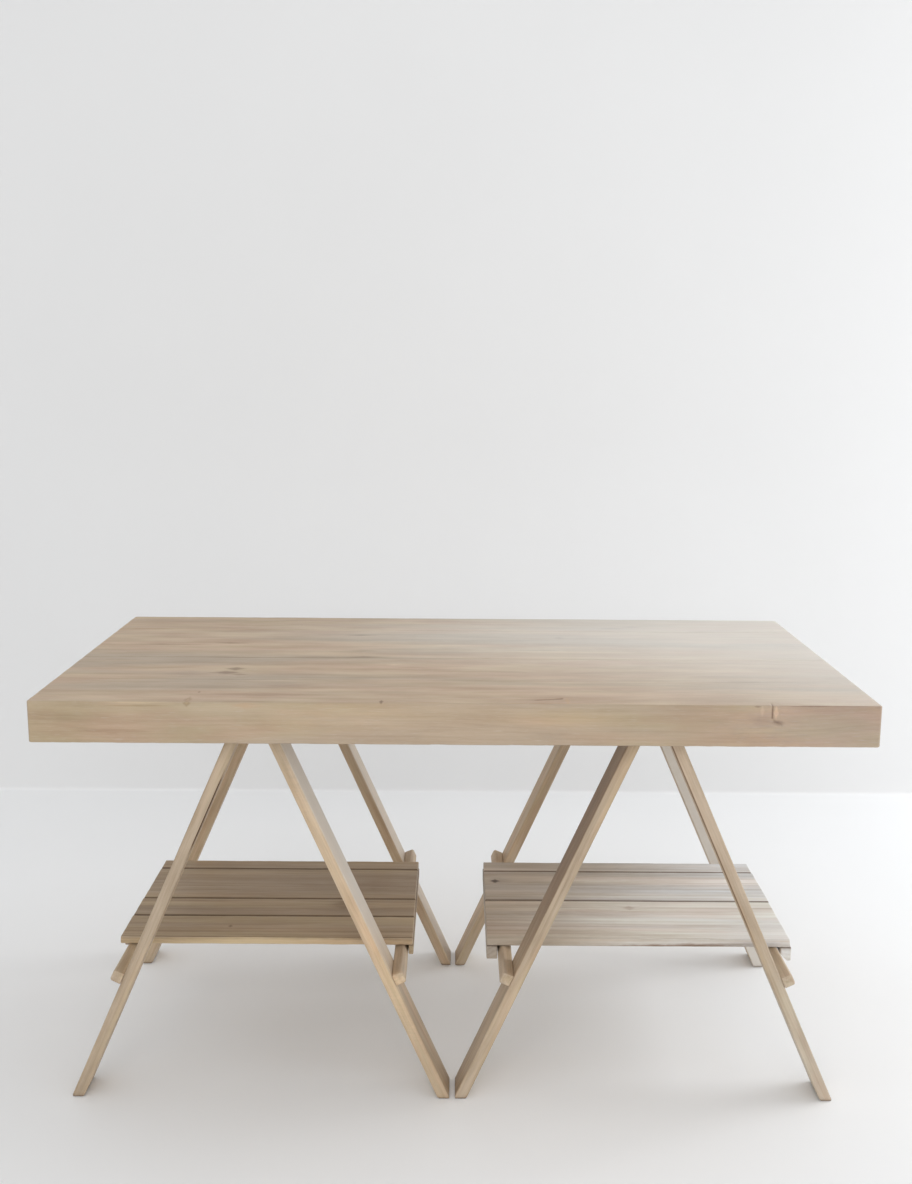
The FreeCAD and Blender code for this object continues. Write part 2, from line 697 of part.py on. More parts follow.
def make_shelf(trestle):
    centre = "-Derived.trestle_centre" if trestle == "left" else "Derived.trestle_centre"
    placement = f"placement(vector({centre}; 0; 0); rotation(vector(0; 0; 1); 0))"
    spans = board_spans(shelf_board_shares[trestle])
    for number, (low, high) in enumerate(spans, start=1):
        make_shelf_board(trestle, number, placement, low, high)
    cleat_signs = {"outer": "-", "inner": ""} if trestle == "left" else {"outer": "", "inner": "-"}
    for side in sides:
        make_shelf_cleat(trestle, side, placement, cleat_signs[side], spans)
    middles = [
        f"vector({sign}Derived.{trestle}_cleat_middle; ({low} + {high}) / 2; Derived.board_underside)"
        for sign in ("-", "")
        for low, high in spans
    ]
    tenons = [
        make_tenon(f"{trestle}_shelf_tenon_{number}", placement, "shelf", middle, 90)
        for number, middle in enumerate(middles, start=1)
    ]
    add_group(tenons, f"{trestle}_shelf_tenons")


top_envelope = make_top_envelope()
make_top_boards()
make_edge_boards()
make_top_core()
for trestle in trestles:
    for side in sides:
        make_leg_frame(trestle, side)
    make_shelf(trestle)
doc.recompute()

failed = [item.Name for item in doc.Objects if {"Invalid", "Error"} & set(item.State)]
failed += [node.Label for node in nodes if node.Shape.isNull() or not node.Shape.isValid()]
if failed:
    raise RuntimeError(f"failed objects: {failed}")
os.makedirs("parts", exist_ok=True)
for node in nodes:
    node.Shape.exportStep(os.path.join("parts", f"{node.Label}.step"))
print(len(nodes), "nodes,", sum(len(node.Shape.Solids) for node in nodes), "solids")
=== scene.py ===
import json
import math

import bpy
import numpy as np
from mathutils import Matrix, Vector


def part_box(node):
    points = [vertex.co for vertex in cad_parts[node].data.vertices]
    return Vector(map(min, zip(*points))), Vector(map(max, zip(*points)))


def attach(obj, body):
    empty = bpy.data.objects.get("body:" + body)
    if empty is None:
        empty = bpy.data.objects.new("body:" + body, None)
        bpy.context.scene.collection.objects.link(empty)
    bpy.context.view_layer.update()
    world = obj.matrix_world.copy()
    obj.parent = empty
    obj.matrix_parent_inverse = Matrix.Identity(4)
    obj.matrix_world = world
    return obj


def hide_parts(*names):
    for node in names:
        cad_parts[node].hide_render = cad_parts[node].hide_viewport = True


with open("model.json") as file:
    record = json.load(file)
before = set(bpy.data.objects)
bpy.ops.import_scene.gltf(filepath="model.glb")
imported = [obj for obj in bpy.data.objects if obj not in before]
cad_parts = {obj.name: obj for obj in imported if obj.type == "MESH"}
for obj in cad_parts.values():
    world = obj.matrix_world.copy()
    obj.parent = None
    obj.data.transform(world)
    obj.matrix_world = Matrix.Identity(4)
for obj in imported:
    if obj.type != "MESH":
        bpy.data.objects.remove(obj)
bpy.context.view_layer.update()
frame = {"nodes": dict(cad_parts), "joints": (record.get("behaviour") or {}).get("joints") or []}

joints = {joint["name"]: joint for joint in frame["joints"]}
sides = {"left": -1, "right": 1}


# Small helpers that lay nodes into a tree

def feed(tree, socket, value):
    if isinstance(value, bpy.types.NodeSocket):
        tree.links.new(value, socket)
    else:
        socket.default_value = value


def place(tree, kind, inputs=None, **settings):
    node = tree.nodes.new("ShaderNode" + kind)
    for key, value in settings.items():
        setattr(node, key, value)
    for key, value in (inputs or {}).items():
        feed(tree, node.inputs[key], value)
    return node


def calc(tree, operation, *values, kind="Math"):
    node = place(tree, kind, operation=operation)
    for socket, value in zip(node.inputs, values):
        feed(tree, socket, value)
    return node.outputs[0]


def vectorCalc(tree, operation, *values):
    return calc(tree, operation, *values, kind="VectorMath")


def blendColour(tree, factor, first, second, mode="MIX"):
    node = place(tree, "Mix", data_type="RGBA", blend_type=mode)
    for index, value in ((0, factor), (6, first), (7, second)):
        feed(tree, node.inputs[index], value)
    return node.outputs[2]


def ramp(tree, value, low, high, toLow=0.0, toHigh=1.0):
    names = ("Value", "From Min", "From Max", "To Min", "To Max")
    inputs = dict(zip(names, (value, low, high, toLow, toHigh)))
    return place(tree, "MapRange", inputs, interpolation_type="SMOOTHSTEP").outputs["Result"]


def streaks(tree, vector, stretch, detail, roughness):
    scaled = vectorCalc(tree, "MULTIPLY", vector, stretch)
    inputs = {"Vector": scaled, "Scale": 1.0, "Detail": detail, "Roughness": roughness}
    return place(tree, "TexNoise", inputs, noise_dimensions="3D").outputs[0]


def newGroup(name, inputs, outputs):
    group = bpy.data.node_groups.new(name, "ShaderNodeTree")
    for direction, sockets in (("INPUT", inputs), ("OUTPUT", outputs)):
        for label, kind in sockets.items():
            group.interface.new_socket(label, in_out=direction, socket_type="NodeSocket" + kind)
    start = group.nodes.new("NodeGroupInput").outputs
    end = group.nodes.new("NodeGroupOutput").inputs
    return group, start, end


def useGroup(tree, group, inputs):
    return place(tree, "Group", inputs, node_tree=group).outputs


def newMaterial(name):
    material = bpy.data.materials.new(name)
    material.use_nodes = True
    tree = material.node_tree
    spot = place(tree, "TexCoord").outputs["Object"]
    return material, tree, tree.nodes["Principled BSDF"], spot


def newObject(name, data):
    thing = bpy.data.objects.new(name, data)
    bpy.context.scene.collection.objects.link(thing)
    return thing


def dressNode(node, finish):
    frame["nodes"][node].material_slots[0].material = materials[finish]


# Limed timber: growth rings round a pith, long streaks, fibres and pores, on coordinates
# (along, across, thickness) in metres

# each noise: shift in the log, stretch along and across the grain per metre, detail, roughness
grainNoise = {
    "slowBend": ((0.0, 0.0, 0.0), (1.3, 5.0, 5.0), 2.0, 0.5),
    "fineBend": ((0.0, 0.0, 0.0), (6.0, 40.0, 40.0), 3.0, 0.55),
    "fibre": ((0.0, 0.0, 0.0), (8.0, 420.0, 420.0), 4.0, 0.65),
    "streak": ((0.0, 0.0, 0.0), (1.4, 55.0, 55.0), 3.0, 0.5),
    "cloud": ((5.5, 1.7, 8.9), (6.5, 34.0, 34.0), 3.0, 0.55),
    "band": ((0.0, 0.0, 0.0), (1.4, 13.0, 13.0), 3.0, 0.5),
    "blush": ((7.3, 2.1, 5.7), (5.0, 20.0, 20.0), 3.0, 0.55),
    "mineral": ((3.1, 9.7, 1.3), (1.6, 85.0, 85.0), 3.0, 0.55),
    "pore": ((0.0, 0.0, 0.0), (45.0, 1300.0, 1300.0), 1.0, 0.5),
}
grainLook = {
    "slowBend": 0.07, "fineBend": 0.006,  # how far the rings wander, in metres
    "lateStart": 0.35, "lateEnd": 0.9, "yearSpread": 0.75, "yearLeast": 0.25,  # dark late wood of each year
    "blush": (0.34, 0.66), "band": (0.40, 0.68), "mineral": (0.58, 0.76), "pore": (0.60, 0.72),
    "span": (0.25, 0.75), "streakSpan": 0.8, "cloudSpan": 1.1, "fibreShare": 0.04,
    "redPower": 0.85, "bluePower": 1.18, "poreLime": (0.72, 0.68, 0.62, 1.0), "poreShare": 0.18,
    "lateRise": 0.35, "fibreRise": 0.5, "poreSink": -0.45, "streakGloss": 0.16, "lateGloss": -0.05,
}


def makeGrainGroup():
    inputs = {
        "Grain": "Vector", "Push": "Float", "Ring Width": "Float", "Pith Depth": "Float",
        "Ring Strength": "Float", "Streak Strength": "Float", "Dark Streaks": "Float",
        "Warm": "Color", "Pale": "Color", "Grey": "Color",
    }
    outputs = {"Colour": "Color", "Height": "Float", "Gloss": "Float"}
    tree, start, end = newGroup("limedGrain", inputs, outputs)
    grain, look, noise = start["Grain"], grainLook, {}
    for name, (shift, stretch, detail, roughness) in grainNoise.items():
        noise[name] = streaks(tree, vectorCalc(tree, "ADD", grain, shift), stretch, detail, roughness)
    axes = place(tree, "SeparateXYZ", {"Vector": grain}).outputs
    slowBend = calc(tree, "SUBTRACT", noise["slowBend"], 0.5)
    fineBend = calc(tree, "MULTIPLY", calc(tree, "SUBTRACT", noise["fineBend"], 0.5), look["fineBend"])
    across = calc(tree, "ADD", axes["Y"], calc(tree, "MULTIPLY_ADD", slowBend, look["slowBend"], fineBend))
    depth = calc(tree, "ADD", axes["Z"], start["Pith Depth"])
    squares = calc(tree, "MULTIPLY_ADD", across, across, calc(tree, "MULTIPLY", depth, depth))
    reach = calc(tree, "ADD", calc(tree, "SQRT", squares), start["Push"])  # ring radius
    count = calc(tree, "DIVIDE", reach, start["Ring Width"])
    ring = calc(tree, "FRACT", count)
    rising = ramp(tree, ring, look["lateStart"], look["lateEnd"])
    late = calc(tree, "MULTIPLY", rising, ramp(tree, ring, look["lateEnd"], 1.0, 1.0, 0.0))
    year = place(tree, "TexWhiteNoise", {"W": calc(tree, "FLOOR", count)}, noise_dimensions="1D")
    yearTone = calc(tree, "MULTIPLY_ADD", year.outputs["Value"], look["yearSpread"], look["yearLeast"])
    late = calc(tree, "MULTIPLY", late, yearTone)

    def lighter(name, span, share):
        return calc(tree, "MULTIPLY", ramp(tree, noise[name], *look["span"], -span, span), share)

    colour = blendColour(tree, ramp(tree, noise["blush"], *look["blush"]), start["Pale"], start["Warm"])
    colour = blendColour(tree, ramp(tree, noise["band"], *look["band"]), colour, start["Grey"])
    streakTone = lighter("streak", look["streakSpan"], start["Streak Strength"])
    cloudTone = lighter("cloud", look["cloudSpan"], start["Streak Strength"])
    fibreTone = lighter("fibre", 1.0, look["fibreShare"])
    light = calc(tree, "ADD", calc(tree, "ADD", streakTone, cloudTone), fibreTone)
    mineral = ramp(tree, noise["mineral"], *look["mineral"])
    mineralTone = calc(tree, "MULTIPLY", mineral, start["Dark Streaks"])
    ringTone = calc(tree, "MULTIPLY", late, start["Ring Strength"])
    tone = calc(tree, "SUBTRACT", light, calc(tree, "ADD", mineralTone, ringTone))
    tone = calc(tree, "ADD", tone, 1.0)
    # a darker tone is also a warmer one: each channel is raised to its own power of the tone
    tones = place(tree, "CombineColor", {
        "Red": calc(tree, "POWER", tone, look["redPower"]),
        "Green": tone,
        "Blue": calc(tree, "POWER", tone, look["bluePower"]),
    })
    colour = blendColour(tree, 1.0, colour, tones.outputs["Color"], "MULTIPLY")
    poreMask = ramp(tree, noise["pore"], *look["pore"])
    poreShare = calc(tree, "MULTIPLY", poreMask, look["poreShare"])
    feed(tree, end["Colour"], blendColour(tree, poreShare, colour, look["poreLime"]))
    fibreRise = calc(tree, "MULTIPLY", noise["fibre"], look["fibreRise"])
    relief = calc(tree, "MULTIPLY_ADD", late, look["lateRise"], fibreRise)
    feed(tree, end["Height"], calc(tree, "MULTIPLY_ADD", poreMask, look["poreSink"], relief))
    lateGloss = calc(tree, "MULTIPLY", late, look["lateGloss"])
    feed(tree, end["Gloss"], calc(tree, "MULTIPLY_ADD", noise["streak"], look["streakGloss"], lateGloss))
    return tree


# A mark in the timber: a spindle with pointed ends about a centre, and a wide halo that pushes the
# rings aside

markShape = {"stray": ((45.0, 190.0, 190.0), 3.0, 0.6), "haloReach": 3.0, "mostFray": 0.8, "frayReach": 0.12}


def makeMarkGroup():
    inputs = {"Place": "Vector", "Centre": "Vector", "Reach": "Vector", "Heart": "Float", "Fray": "Float"}
    tree, start, end = newGroup("grainMark", inputs, {"Patch": "Float", "Halo": "Float"})
    stray = calc(tree, "SUBTRACT", streaks(tree, start["Place"], *markShape["stray"]), 0.5)
    offset = vectorCalc(tree, "SUBTRACT", start["Place"], start["Centre"])
    shares = vectorCalc(tree, "ABSOLUTE", vectorCalc(tree, "DIVIDE", offset, start["Reach"]))
    axes = place(tree, "SeparateXYZ", {"Vector": shares}).outputs
    # distance = |x| + |y| + |z| in shares of the reach, roughened by noise
    distance = calc(tree, "ADD", calc(tree, "ADD", axes["X"], axes["Y"]), axes["Z"])
    rough = calc(tree, "MULTIPLY_ADD", stray, start["Fray"], distance)
    feed(tree, end["Patch"], ramp(tree, rough, start["Heart"], 1.0, 1.0, 0.0))
    feed(tree, end["Halo"], ramp(tree, distance, 0.0, markShape["haloReach"], 1.0, 0.0))
    return tree


# Worn edges, and darkening that is partly soiling and partly painted shade: the piece's own edge and
# darkening values, broken up by patches along the grain

wearLook = {
    "patches": ((14.0, 50.0, 50.0), 4.0, 0.6), "broken": (1.6, 0.1), "worn": (0.35, 0.95),
    "settled": (0.9, 0.55), "dirtAndShade": (0.05, 0.95),
}


def makeWearGroup():
    inputs = {"Edge": "Float", "GrimeAndShade": "Float", "Grain": "Vector"}
    tree, start, end = newGroup("edgeWear", inputs, {"Worn": "Float", "DirtAndShade": "Float"})
    patches = streaks(tree, start["Grain"], *wearLook["patches"])
    for source, breaking, result, limits in (
        ("Edge", "broken", "Worn", "worn"), ("GrimeAndShade", "settled", "DirtAndShade", "dirtAndShade"),
    ):
        broken = calc(tree, "MULTIPLY_ADD", patches, *wearLook[breaking])
        amount = calc(tree, "MULTIPLY", start[source], broken)
        feed(tree, end[result], ramp(tree, amount, *wearLook[limits]))
    return tree


grainGroup = makeGrainGroup()
markGroup = makeMarkGroup()
wearGroup = makeWearGroup()
print("node groups:", ", ".join(group.name for group in bpy.data.node_groups))


# Timber finishes. Colours are linear; marks are places on the table in metres.

limedTop = {
    "warm": (0.495, 0.355, 0.250), "pale": (0.535, 0.415, 0.285), "grey": (0.430, 0.345, 0.258),
    "ringWidth": 0.011, "pithDepth": 0.09, "ringStrength": 0.05, "streakStrength": 0.10, "darkStreaks": 0.07,
    "rough": 0.46, "gloss": 0.32, "bump": 0.00025,
    "worn": (0.60, 0.50, 0.40), "wornShare": 0.25, "wornRough": 0.06,
    # darkening colour and its share, for soiling and for painted shade
    "dirtAndShade": (0.30, 0.25, 0.21), "dirtAndShadeShare": 0.9,
    # colours of the painted light and painted shade on single leg sides
    "paintedLight": (0.78, 0.74, 0.68), "paintedShade": (0.44, 0.33, 0.24),
}
limedEdge = {
    **limedTop,
    "warm": (0.530, 0.380, 0.266), "pale": (0.505, 0.398, 0.264), "grey": (0.458, 0.366, 0.278),
    "ringWidth": 0.007, "pithDepth": 0.03, "ringStrength": 0.06, "streakStrength": 0.07, "darkStreaks": 0.08,
}
limedLeg = {
    **limedTop,
    "warm": (0.562, 0.406, 0.268), "pale": (0.550, 0.430, 0.286), "grey": (0.484, 0.380, 0.274),
    "ringWidth": 0.009, "pithDepth": 0.06, "ringStrength": 0.08, "streakStrength": 0.12, "darkStreaks": 0.15,
    "wornShare": 0.35,
}
paleShelf = {
    **limedTop,
    "warm": (0.490, 0.384, 0.296), "pale": (0.505, 0.426, 0.326), "grey": (0.420, 0.360, 0.300),
    "ringWidth": 0.008, "pithDepth": 0.05, "ringStrength": 0.16, "streakStrength": 0.13, "darkStreaks": 0.26,
    "wornShare": 0.45,
}
brownShelf = {
    **paleShelf,
    "warm": (0.435, 0.320, 0.208), "pale": (0.440, 0.342, 0.218), "grey": (0.370, 0.283, 0.198),
}
bareCore = {
    **limedTop,
    "warm": (0.520, 0.380, 0.240), "pale": (0.540, 0.410, 0.280), "grey": (0.470, 0.370, 0.260),
    "rough": 0.55, "bump": 0.0004, "ringStrength": 0.12, "darkStreaks": 0.12,
}


def mark(centre, reach, tint, share, heart=0.3, push=0.0, mode="MULTIPLY"):
    # a place in metres, a tint that the timber is multiplied by or mixed with, how far the rings
    # are pushed aside; a small mark has a ragged outline, a broad one fades softly
    fray = min(markShape["mostFray"], markShape["frayReach"] / sorted(reach)[1])
    sockets = {"Centre": centre, "Reach": reach, "Heart": heart, "Fray": fray}
    return {"sockets": sockets, "tint": (*tint, 1.0), "share": share, "push": push, "mode": mode}


topMarks = [
    # knot like a fish tail with a grey trail to its left
    mark((-0.396, -0.124, 0.75), (0.026, 0.016, 0.03), (0.50, 0.46, 0.44), 0.85, push=0.010),
    mark((-0.408, -0.153, 0.75), (0.040, 0.017, 0.03), (0.54, 0.49, 0.48), 0.85, push=0.010),
    mark((-0.383, -0.165, 0.75), (0.024, 0.010, 0.03), (0.70, 0.66, 0.63), 0.75),
    mark((-0.470, -0.160, 0.75), (0.090, 0.032, 0.03), (0.80, 0.79, 0.81), 0.75, heart=0.0),
    mark((-0.310, -0.235, 0.75), (0.130, 0.034, 0.03), (0.84, 0.83, 0.85), 0.75, heart=0.0),
    mark((-0.320, -0.302, 0.75), (0.200, 0.012, 0.03), (0.82, 0.79, 0.76), 0.70),
    mark((-0.429, -0.289, 0.75), (0.004, 0.008, 0.03), (0.60, 0.55, 0.50), 0.80),
    # long dark line at the left, short dark streaks in the middle
    mark((-0.580, 0.073, 0.75), (0.150, 0.010, 0.03), (0.66, 0.62, 0.58), 0.75),
    mark((-0.445, 0.090, 0.75), (0.060, 0.009, 0.03), (0.64, 0.59, 0.54), 0.80),
    mark((-0.192, 0.170, 0.75), (0.050, 0.010, 0.03), (0.58, 0.51, 0.46), 0.85, push=0.004),
    mark((-0.172, -0.025, 0.75), (0.062, 0.010, 0.03), (0.62, 0.55, 0.51), 0.80, push=0.004),
    mark((-0.180, 0.030, 0.75), (0.050, 0.012, 0.03), (0.78, 0.74, 0.72), 0.70),
    mark((-0.100, 0.020, 0.75), (0.200, 0.045, 0.03), (0.84, 0.82, 0.83), 0.70, heart=0.0),
    mark((-0.113, -0.085, 0.75), (0.022, 0.012, 0.03), (1.16, 1.17, 1.18), 0.70, push=0.014),
    mark((-0.080, -0.104, 0.75), (0.055, 0.008, 0.03), (0.82, 0.78, 0.75), 0.75),
    mark((0.100, -0.004, 0.75), (0.300, 0.040, 0.03), (0.84, 0.82, 0.82), 0.70, heart=0.0),
    # feathered knots at the right
    mark((0.330, 0.250, 0.75), (0.060, 0.010, 0.03), (0.66, 0.61, 0.58), 0.80, push=0.010),
    mark((0.372, 0.268, 0.75), (0.036, 0.012, 0.03), (0.74, 0.70, 0.67), 0.70, push=0.010),
    mark((0.211, 0.154, 0.75), (0.022, 0.012, 0.03), (0.70, 0.63, 0.60), 0.75, push=0.008),
    mark((0.470, 0.020, 0.75), (0.090, 0.060, 0.03), (0.92, 0.88, 0.82), 0.70, heart=0.0),
    mark((0.0, -0.131, 0.75), (0.190, 0.006, 0.03), (0.80, 0.76, 0.72), 0.60),
    # front arris: a ring knot, a pin knot, grey beside the crack
    mark((-0.4375, -0.338, 0.75), (0.0095, 0.030, 0.02), (0.76, 0.70, 0.62), 0.80, push=0.003),
    mark((-0.4375, -0.342, 0.75), (0.0045, 0.014, 0.02), (1.20, 1.22, 1.20), 0.80),
    mark((-0.120, -0.342, 0.75), (0.006, 0.014, 0.02), (0.42, 0.35, 0.30), 0.85, push=0.002),
    mark((0.135, -0.324, 0.75), (0.060, 0.014, 0.02), (0.80, 0.77, 0.76), 0.75, heart=0.1),
    mark((0.186, -0.332, 0.75), (0.007, 0.030, 0.02), (1.08, 1.00, 0.86), 0.70),
    # darker back at the left, lighter middle; towards the right a painted sheen of the window light, paler,
    # bluer and greyer
    mark((-0.360, 0.300, 0.75), (0.550, 0.280, 0.10), (0.91, 0.91, 0.90), 0.90, heart=0.1),
    mark((0.000, 0.050, 0.75), (0.300, 0.450, 0.10), (1.06, 1.08, 1.09), 0.90, heart=0.1),
    mark((0.700, 0.200, 0.75), (1.300, 1.000, 0.10), (1.16, 1.22, 1.28), 0.90, heart=0.1),
    mark((0.700, 0.200, 0.75), (1.300, 1.000, 0.10), (0.84, 0.83, 0.80), 0.58, heart=0.1, mode="MIX"),
]

edgeMarks = [
    # pale wedge that ends in a ring knot, pin knot
    mark((-0.520, -0.35, 0.7485), (0.085, 0.012, 0.0042), (1.20, 1.22, 1.18), 0.85),
    mark((-0.520, -0.35, 0.7425), (0.090, 0.012, 0.0024), (0.84, 0.80, 0.72), 0.75),
    mark((-0.4375, -0.35, 0.7480), (0.0095, 0.030, 0.0090), (0.76, 0.70, 0.62), 0.80, push=0.003),
    mark((-0.4375, -0.35, 0.7480), (0.0045, 0.020, 0.0042), (1.20, 1.22, 1.20), 0.80),
    mark((-0.340, -0.35, 0.7440), (0.040, 0.020, 0.0110), (1.05, 0.94, 0.90), 0.75, heart=0.0),
    mark((-0.120, -0.35, 0.7500), (0.005, 0.020, 0.0030), (0.42, 0.35, 0.30), 0.85, push=0.002),
    # torn chip at the right: pale flake, pale streak beside it, grey about it
    mark((0.5258, -0.35, 0.7370), (0.0060, 0.012, 0.0170), (1.26, 1.24, 1.18), 0.90, heart=0.5),
    mark((0.5300, -0.35, 0.7200), (0.0160, 0.012, 0.0080), (0.74, 0.70, 0.68), 0.80, heart=0.0),
    mark((0.5030, -0.35, 0.7400), (0.0055, 0.012, 0.0130), (1.16, 1.18, 1.20), 0.80),
    mark((0.4950, -0.35, 0.7475), (0.0080, 0.012, 0.0035), (0.72, 0.68, 0.66), 0.80),
    mark((0.5100, -0.35, 0.7230), (0.0350, 0.012, 0.0220), (0.88, 0.87, 0.90), 0.75, heart=0.0),
    mark((0.580, -0.35, 0.7488), (0.130, 0.010, 0.0022), (0.64, 0.59, 0.56), 0.70),
    # warmer middle between darker stretches, greyer right end and browner left end
    mark((0.015, -0.35, 0.7140), (0.420, 0.050, 0.1400), (1.08, 1.04, 0.98), 0.90, heart=0.1),
    mark((-0.550, -0.35, 0.7140), (0.300, 0.050, 0.1400), (0.94, 0.95, 0.95), 0.90, heart=0.2),
    mark((0.380, -0.35, 0.7140), (0.220, 0.050, 0.1400), (0.92, 0.95, 0.97), 0.90, heart=0.2),
    mark((0.640, -0.35, 0.7140), (0.260, 0.050, 0.1400), (0.87, 0.88, 1.00), 0.85, heart=0.1),
    mark((-0.640, -0.35, 0.7140), (0.160, 0.050, 0.1200), (0.91, 0.88, 0.84), 0.80, heart=0.0),
    mark((-0.560, -0.35, 0.6990), (0.090, 0.020, 0.0080), (0.86, 0.82, 0.78), 0.70, push=0.006),
]

shelfMarks = [
    mark((0.085, 0.081, 0.257), (0.013, 0.013, 0.03), (0.20, 0.16, 0.14), 0.95, push=0.005),
    mark((0.095, 0.083, 0.257), (0.055, 0.024, 0.03), (0.70, 0.67, 0.66), 0.70, heart=0.0),
    mark((0.342, -0.044, 0.257), (0.018, 0.012, 0.03), (0.68, 0.58, 0.54), 0.70, push=0.005),
    mark((-0.417, -0.134, 0.257), (0.006, 0.008, 0.03), (0.48, 0.42, 0.38), 0.80),
    mark((-0.211, -0.038, 0.257), (0.045, 0.030, 0.03), (0.66, 0.60, 0.58), 0.75, push=0.006),
    mark((-0.160, 0.060, 0.257), (0.090, 0.040, 0.03), (0.80, 0.75, 0.73), 0.70, heart=0.0),
    # lighter front edge of the left shelf, a darker brownish strip on the right one; towards the right of the
    # right shelf painted window light, and a painted whitish sheen at its front
    mark((-0.340, -0.182, 0.247), (0.700, 0.014, 0.03), (1.44, 1.42, 1.34), 0.80),
    mark((0.560, -0.183, 0.2445), (0.420, 0.030, 0.0130), (0.38, 0.27, 0.19), 0.95, heart=0.45),
    mark((0.640, -0.100, 0.257), (0.640, 0.900, 0.10), (1.70, 2.00, 2.42), 0.95),
    mark((0.600, -0.165, 0.257), (0.220, 0.140, 0.10), (0.86, 0.86, 0.85), 0.60, heart=0.2, mode="MIX"),
]

legMarks = [
    # left inner front leg: a paler front; right outer front leg: painted window light, paler and bluer on its
    # upper half and at its foot
    mark((-0.140, -0.285, 0.450), (0.260, 0.050, 0.600), (1.32, 1.29, 1.24), 0.90, heart=0.4),
    mark((0.460, -0.255, 0.620), (0.160, 0.300, 0.600), (1.17, 1.18, 1.21), 0.95, heart=0.4),
    mark((0.620, -0.255, 0.050), (0.240, 0.300, 0.500), (1.02, 1.13, 1.30), 0.95, heart=0.2),
]


def makeTimber(name, look, marks=(), turn=None):
    material, tree, shader, spot = newMaterial(name)
    if turn is None:
        grain = place(tree, "Attribute", attribute_name="grain").outputs["Vector"]
    else:
        grain = place(tree, "Mapping", {"Vector": spot, "Rotation": turn}).outputs["Vector"]
    push = 0.0
    patches = []
    for values in marks:
        outputs = useGroup(tree, markGroup, {"Place": spot, **values["sockets"]})
        if values["push"]:
            push = calc(tree, "MULTIPLY_ADD", outputs["Halo"], values["push"], push)
        patches.append(outputs["Patch"])
    timber = useGroup(tree, grainGroup, {
        "Grain": grain, "Push": push, "Ring Width": look["ringWidth"], "Pith Depth": look["pithDepth"],
        "Ring Strength": look["ringStrength"], "Streak Strength": look["streakStrength"],
        "Dark Streaks": look["darkStreaks"],
        "Warm": (*look["warm"], 1.0), "Pale": (*look["pale"], 1.0), "Grey": (*look["grey"], 1.0),
    })
    colour = timber["Colour"]
    for patch, values in zip(patches, marks):
        amount = calc(tree, "MULTIPLY", patch, values["share"])
        colour = blendColour(tree, amount, colour, values["tint"], values["mode"])
    # the stain layer holds painted light (above 0) and painted shade (below 0) on single leg sides; the
    # darkening layer holds soiling and painted shade
    edge, grimeAndShade, stain = (
        place(tree, "Attribute", attribute_name=layer).outputs["Fac"] for layer in ("edge", "grimeAndShade", "stain")
    )
    wear = useGroup(tree, wearGroup, {"Edge": edge, "GrimeAndShade": grimeAndShade, "Grain": grain})
    coats = (
        (calc(tree, "MULTIPLY", wear["Worn"], look["wornShare"]), "worn", "MIX"),
        (ramp(tree, stain, 0.0, 1.0), "paintedLight", "MIX"),  # a stain above 0 is limed: painted light
        (ramp(tree, stain, 0.0, -1.0), "paintedShade", "MULTIPLY"),  # and one below 0 browned: painted shade
        (calc(tree, "MULTIPLY", wear["DirtAndShade"], look["dirtAndShadeShare"]), "dirtAndShade", "MULTIPLY"),
    )
    for amount, tint, mode in coats:
        colour = blendColour(tree, amount, colour, (*look[tint], 1.0), mode)
    feed(tree, shader.inputs["Base Color"], colour)
    shader.inputs["Specular IOR Level"].default_value = look["gloss"]
    rough = calc(tree, "ADD", timber["Gloss"], look["rough"])
    feed(tree, shader.inputs["Roughness"], calc(tree, "MULTIPLY_ADD", wear["Worn"], look["wornRough"], rough))
    bump = place(tree, "Bump", {"Height": timber["Height"], "Distance": look["bump"], "Strength": 1.0})
    feed(tree, shader.inputs["Normal"], bump.outputs["Normal"])
    return material


# Dull zinc steel of the hinges: spangled grey with darker stains and fine brushing

zincSteel = {
    "colour": (0.50, 0.49, 0.47, 1.0), "dark": (0.34, 0.33, 0.32, 1.0), "rough": 0.38, "metallic": 0.9,
    "spangle": 420.0, "spangleShare": 0.35, "stain": ((70.0, 70.0, 70.0), 4.0, 0.6), "stainShare": 0.65,
    "stainRough": 0.2, "brushed": ((1500.0, 90.0, 1500.0), 3.0, 0.6), "bump": 0.00003, "bumpStrength": 0.6,
}


def makeZinc(name, look):
    material, tree, shader, spot = newMaterial(name)
    spangle = place(tree, "TexVoronoi", {"Vector": spot, "Scale": look["spangle"]}).outputs["Color"]
    spangleTone = place(tree, "SeparateColor", {"Color": spangle}).outputs["Red"]
    brushed = streaks(tree, spot, *look["brushed"])
    stain = streaks(tree, spot, *look["stain"])
    stainTone = calc(tree, "MULTIPLY", stain, look["stainShare"])
    tone = calc(tree, "MULTIPLY_ADD", spangleTone, look["spangleShare"], stainTone)
    feed(tree, shader.inputs["Base Color"], blendColour(tree, tone, look["dark"], look["colour"]))
    rough = calc(tree, "MULTIPLY_ADD", stain, look["stainRough"], look["rough"])
    feed(tree, shader.inputs["Roughness"], rough)
    relief = {"Height": brushed, "Distance": look["bump"], "Strength": look["bumpStrength"]}
    feed(tree, shader.inputs["Normal"], place(tree, "Bump", relief).outputs["Normal"])
    shader.inputs["Metallic"].default_value = look["metallic"]
    return material


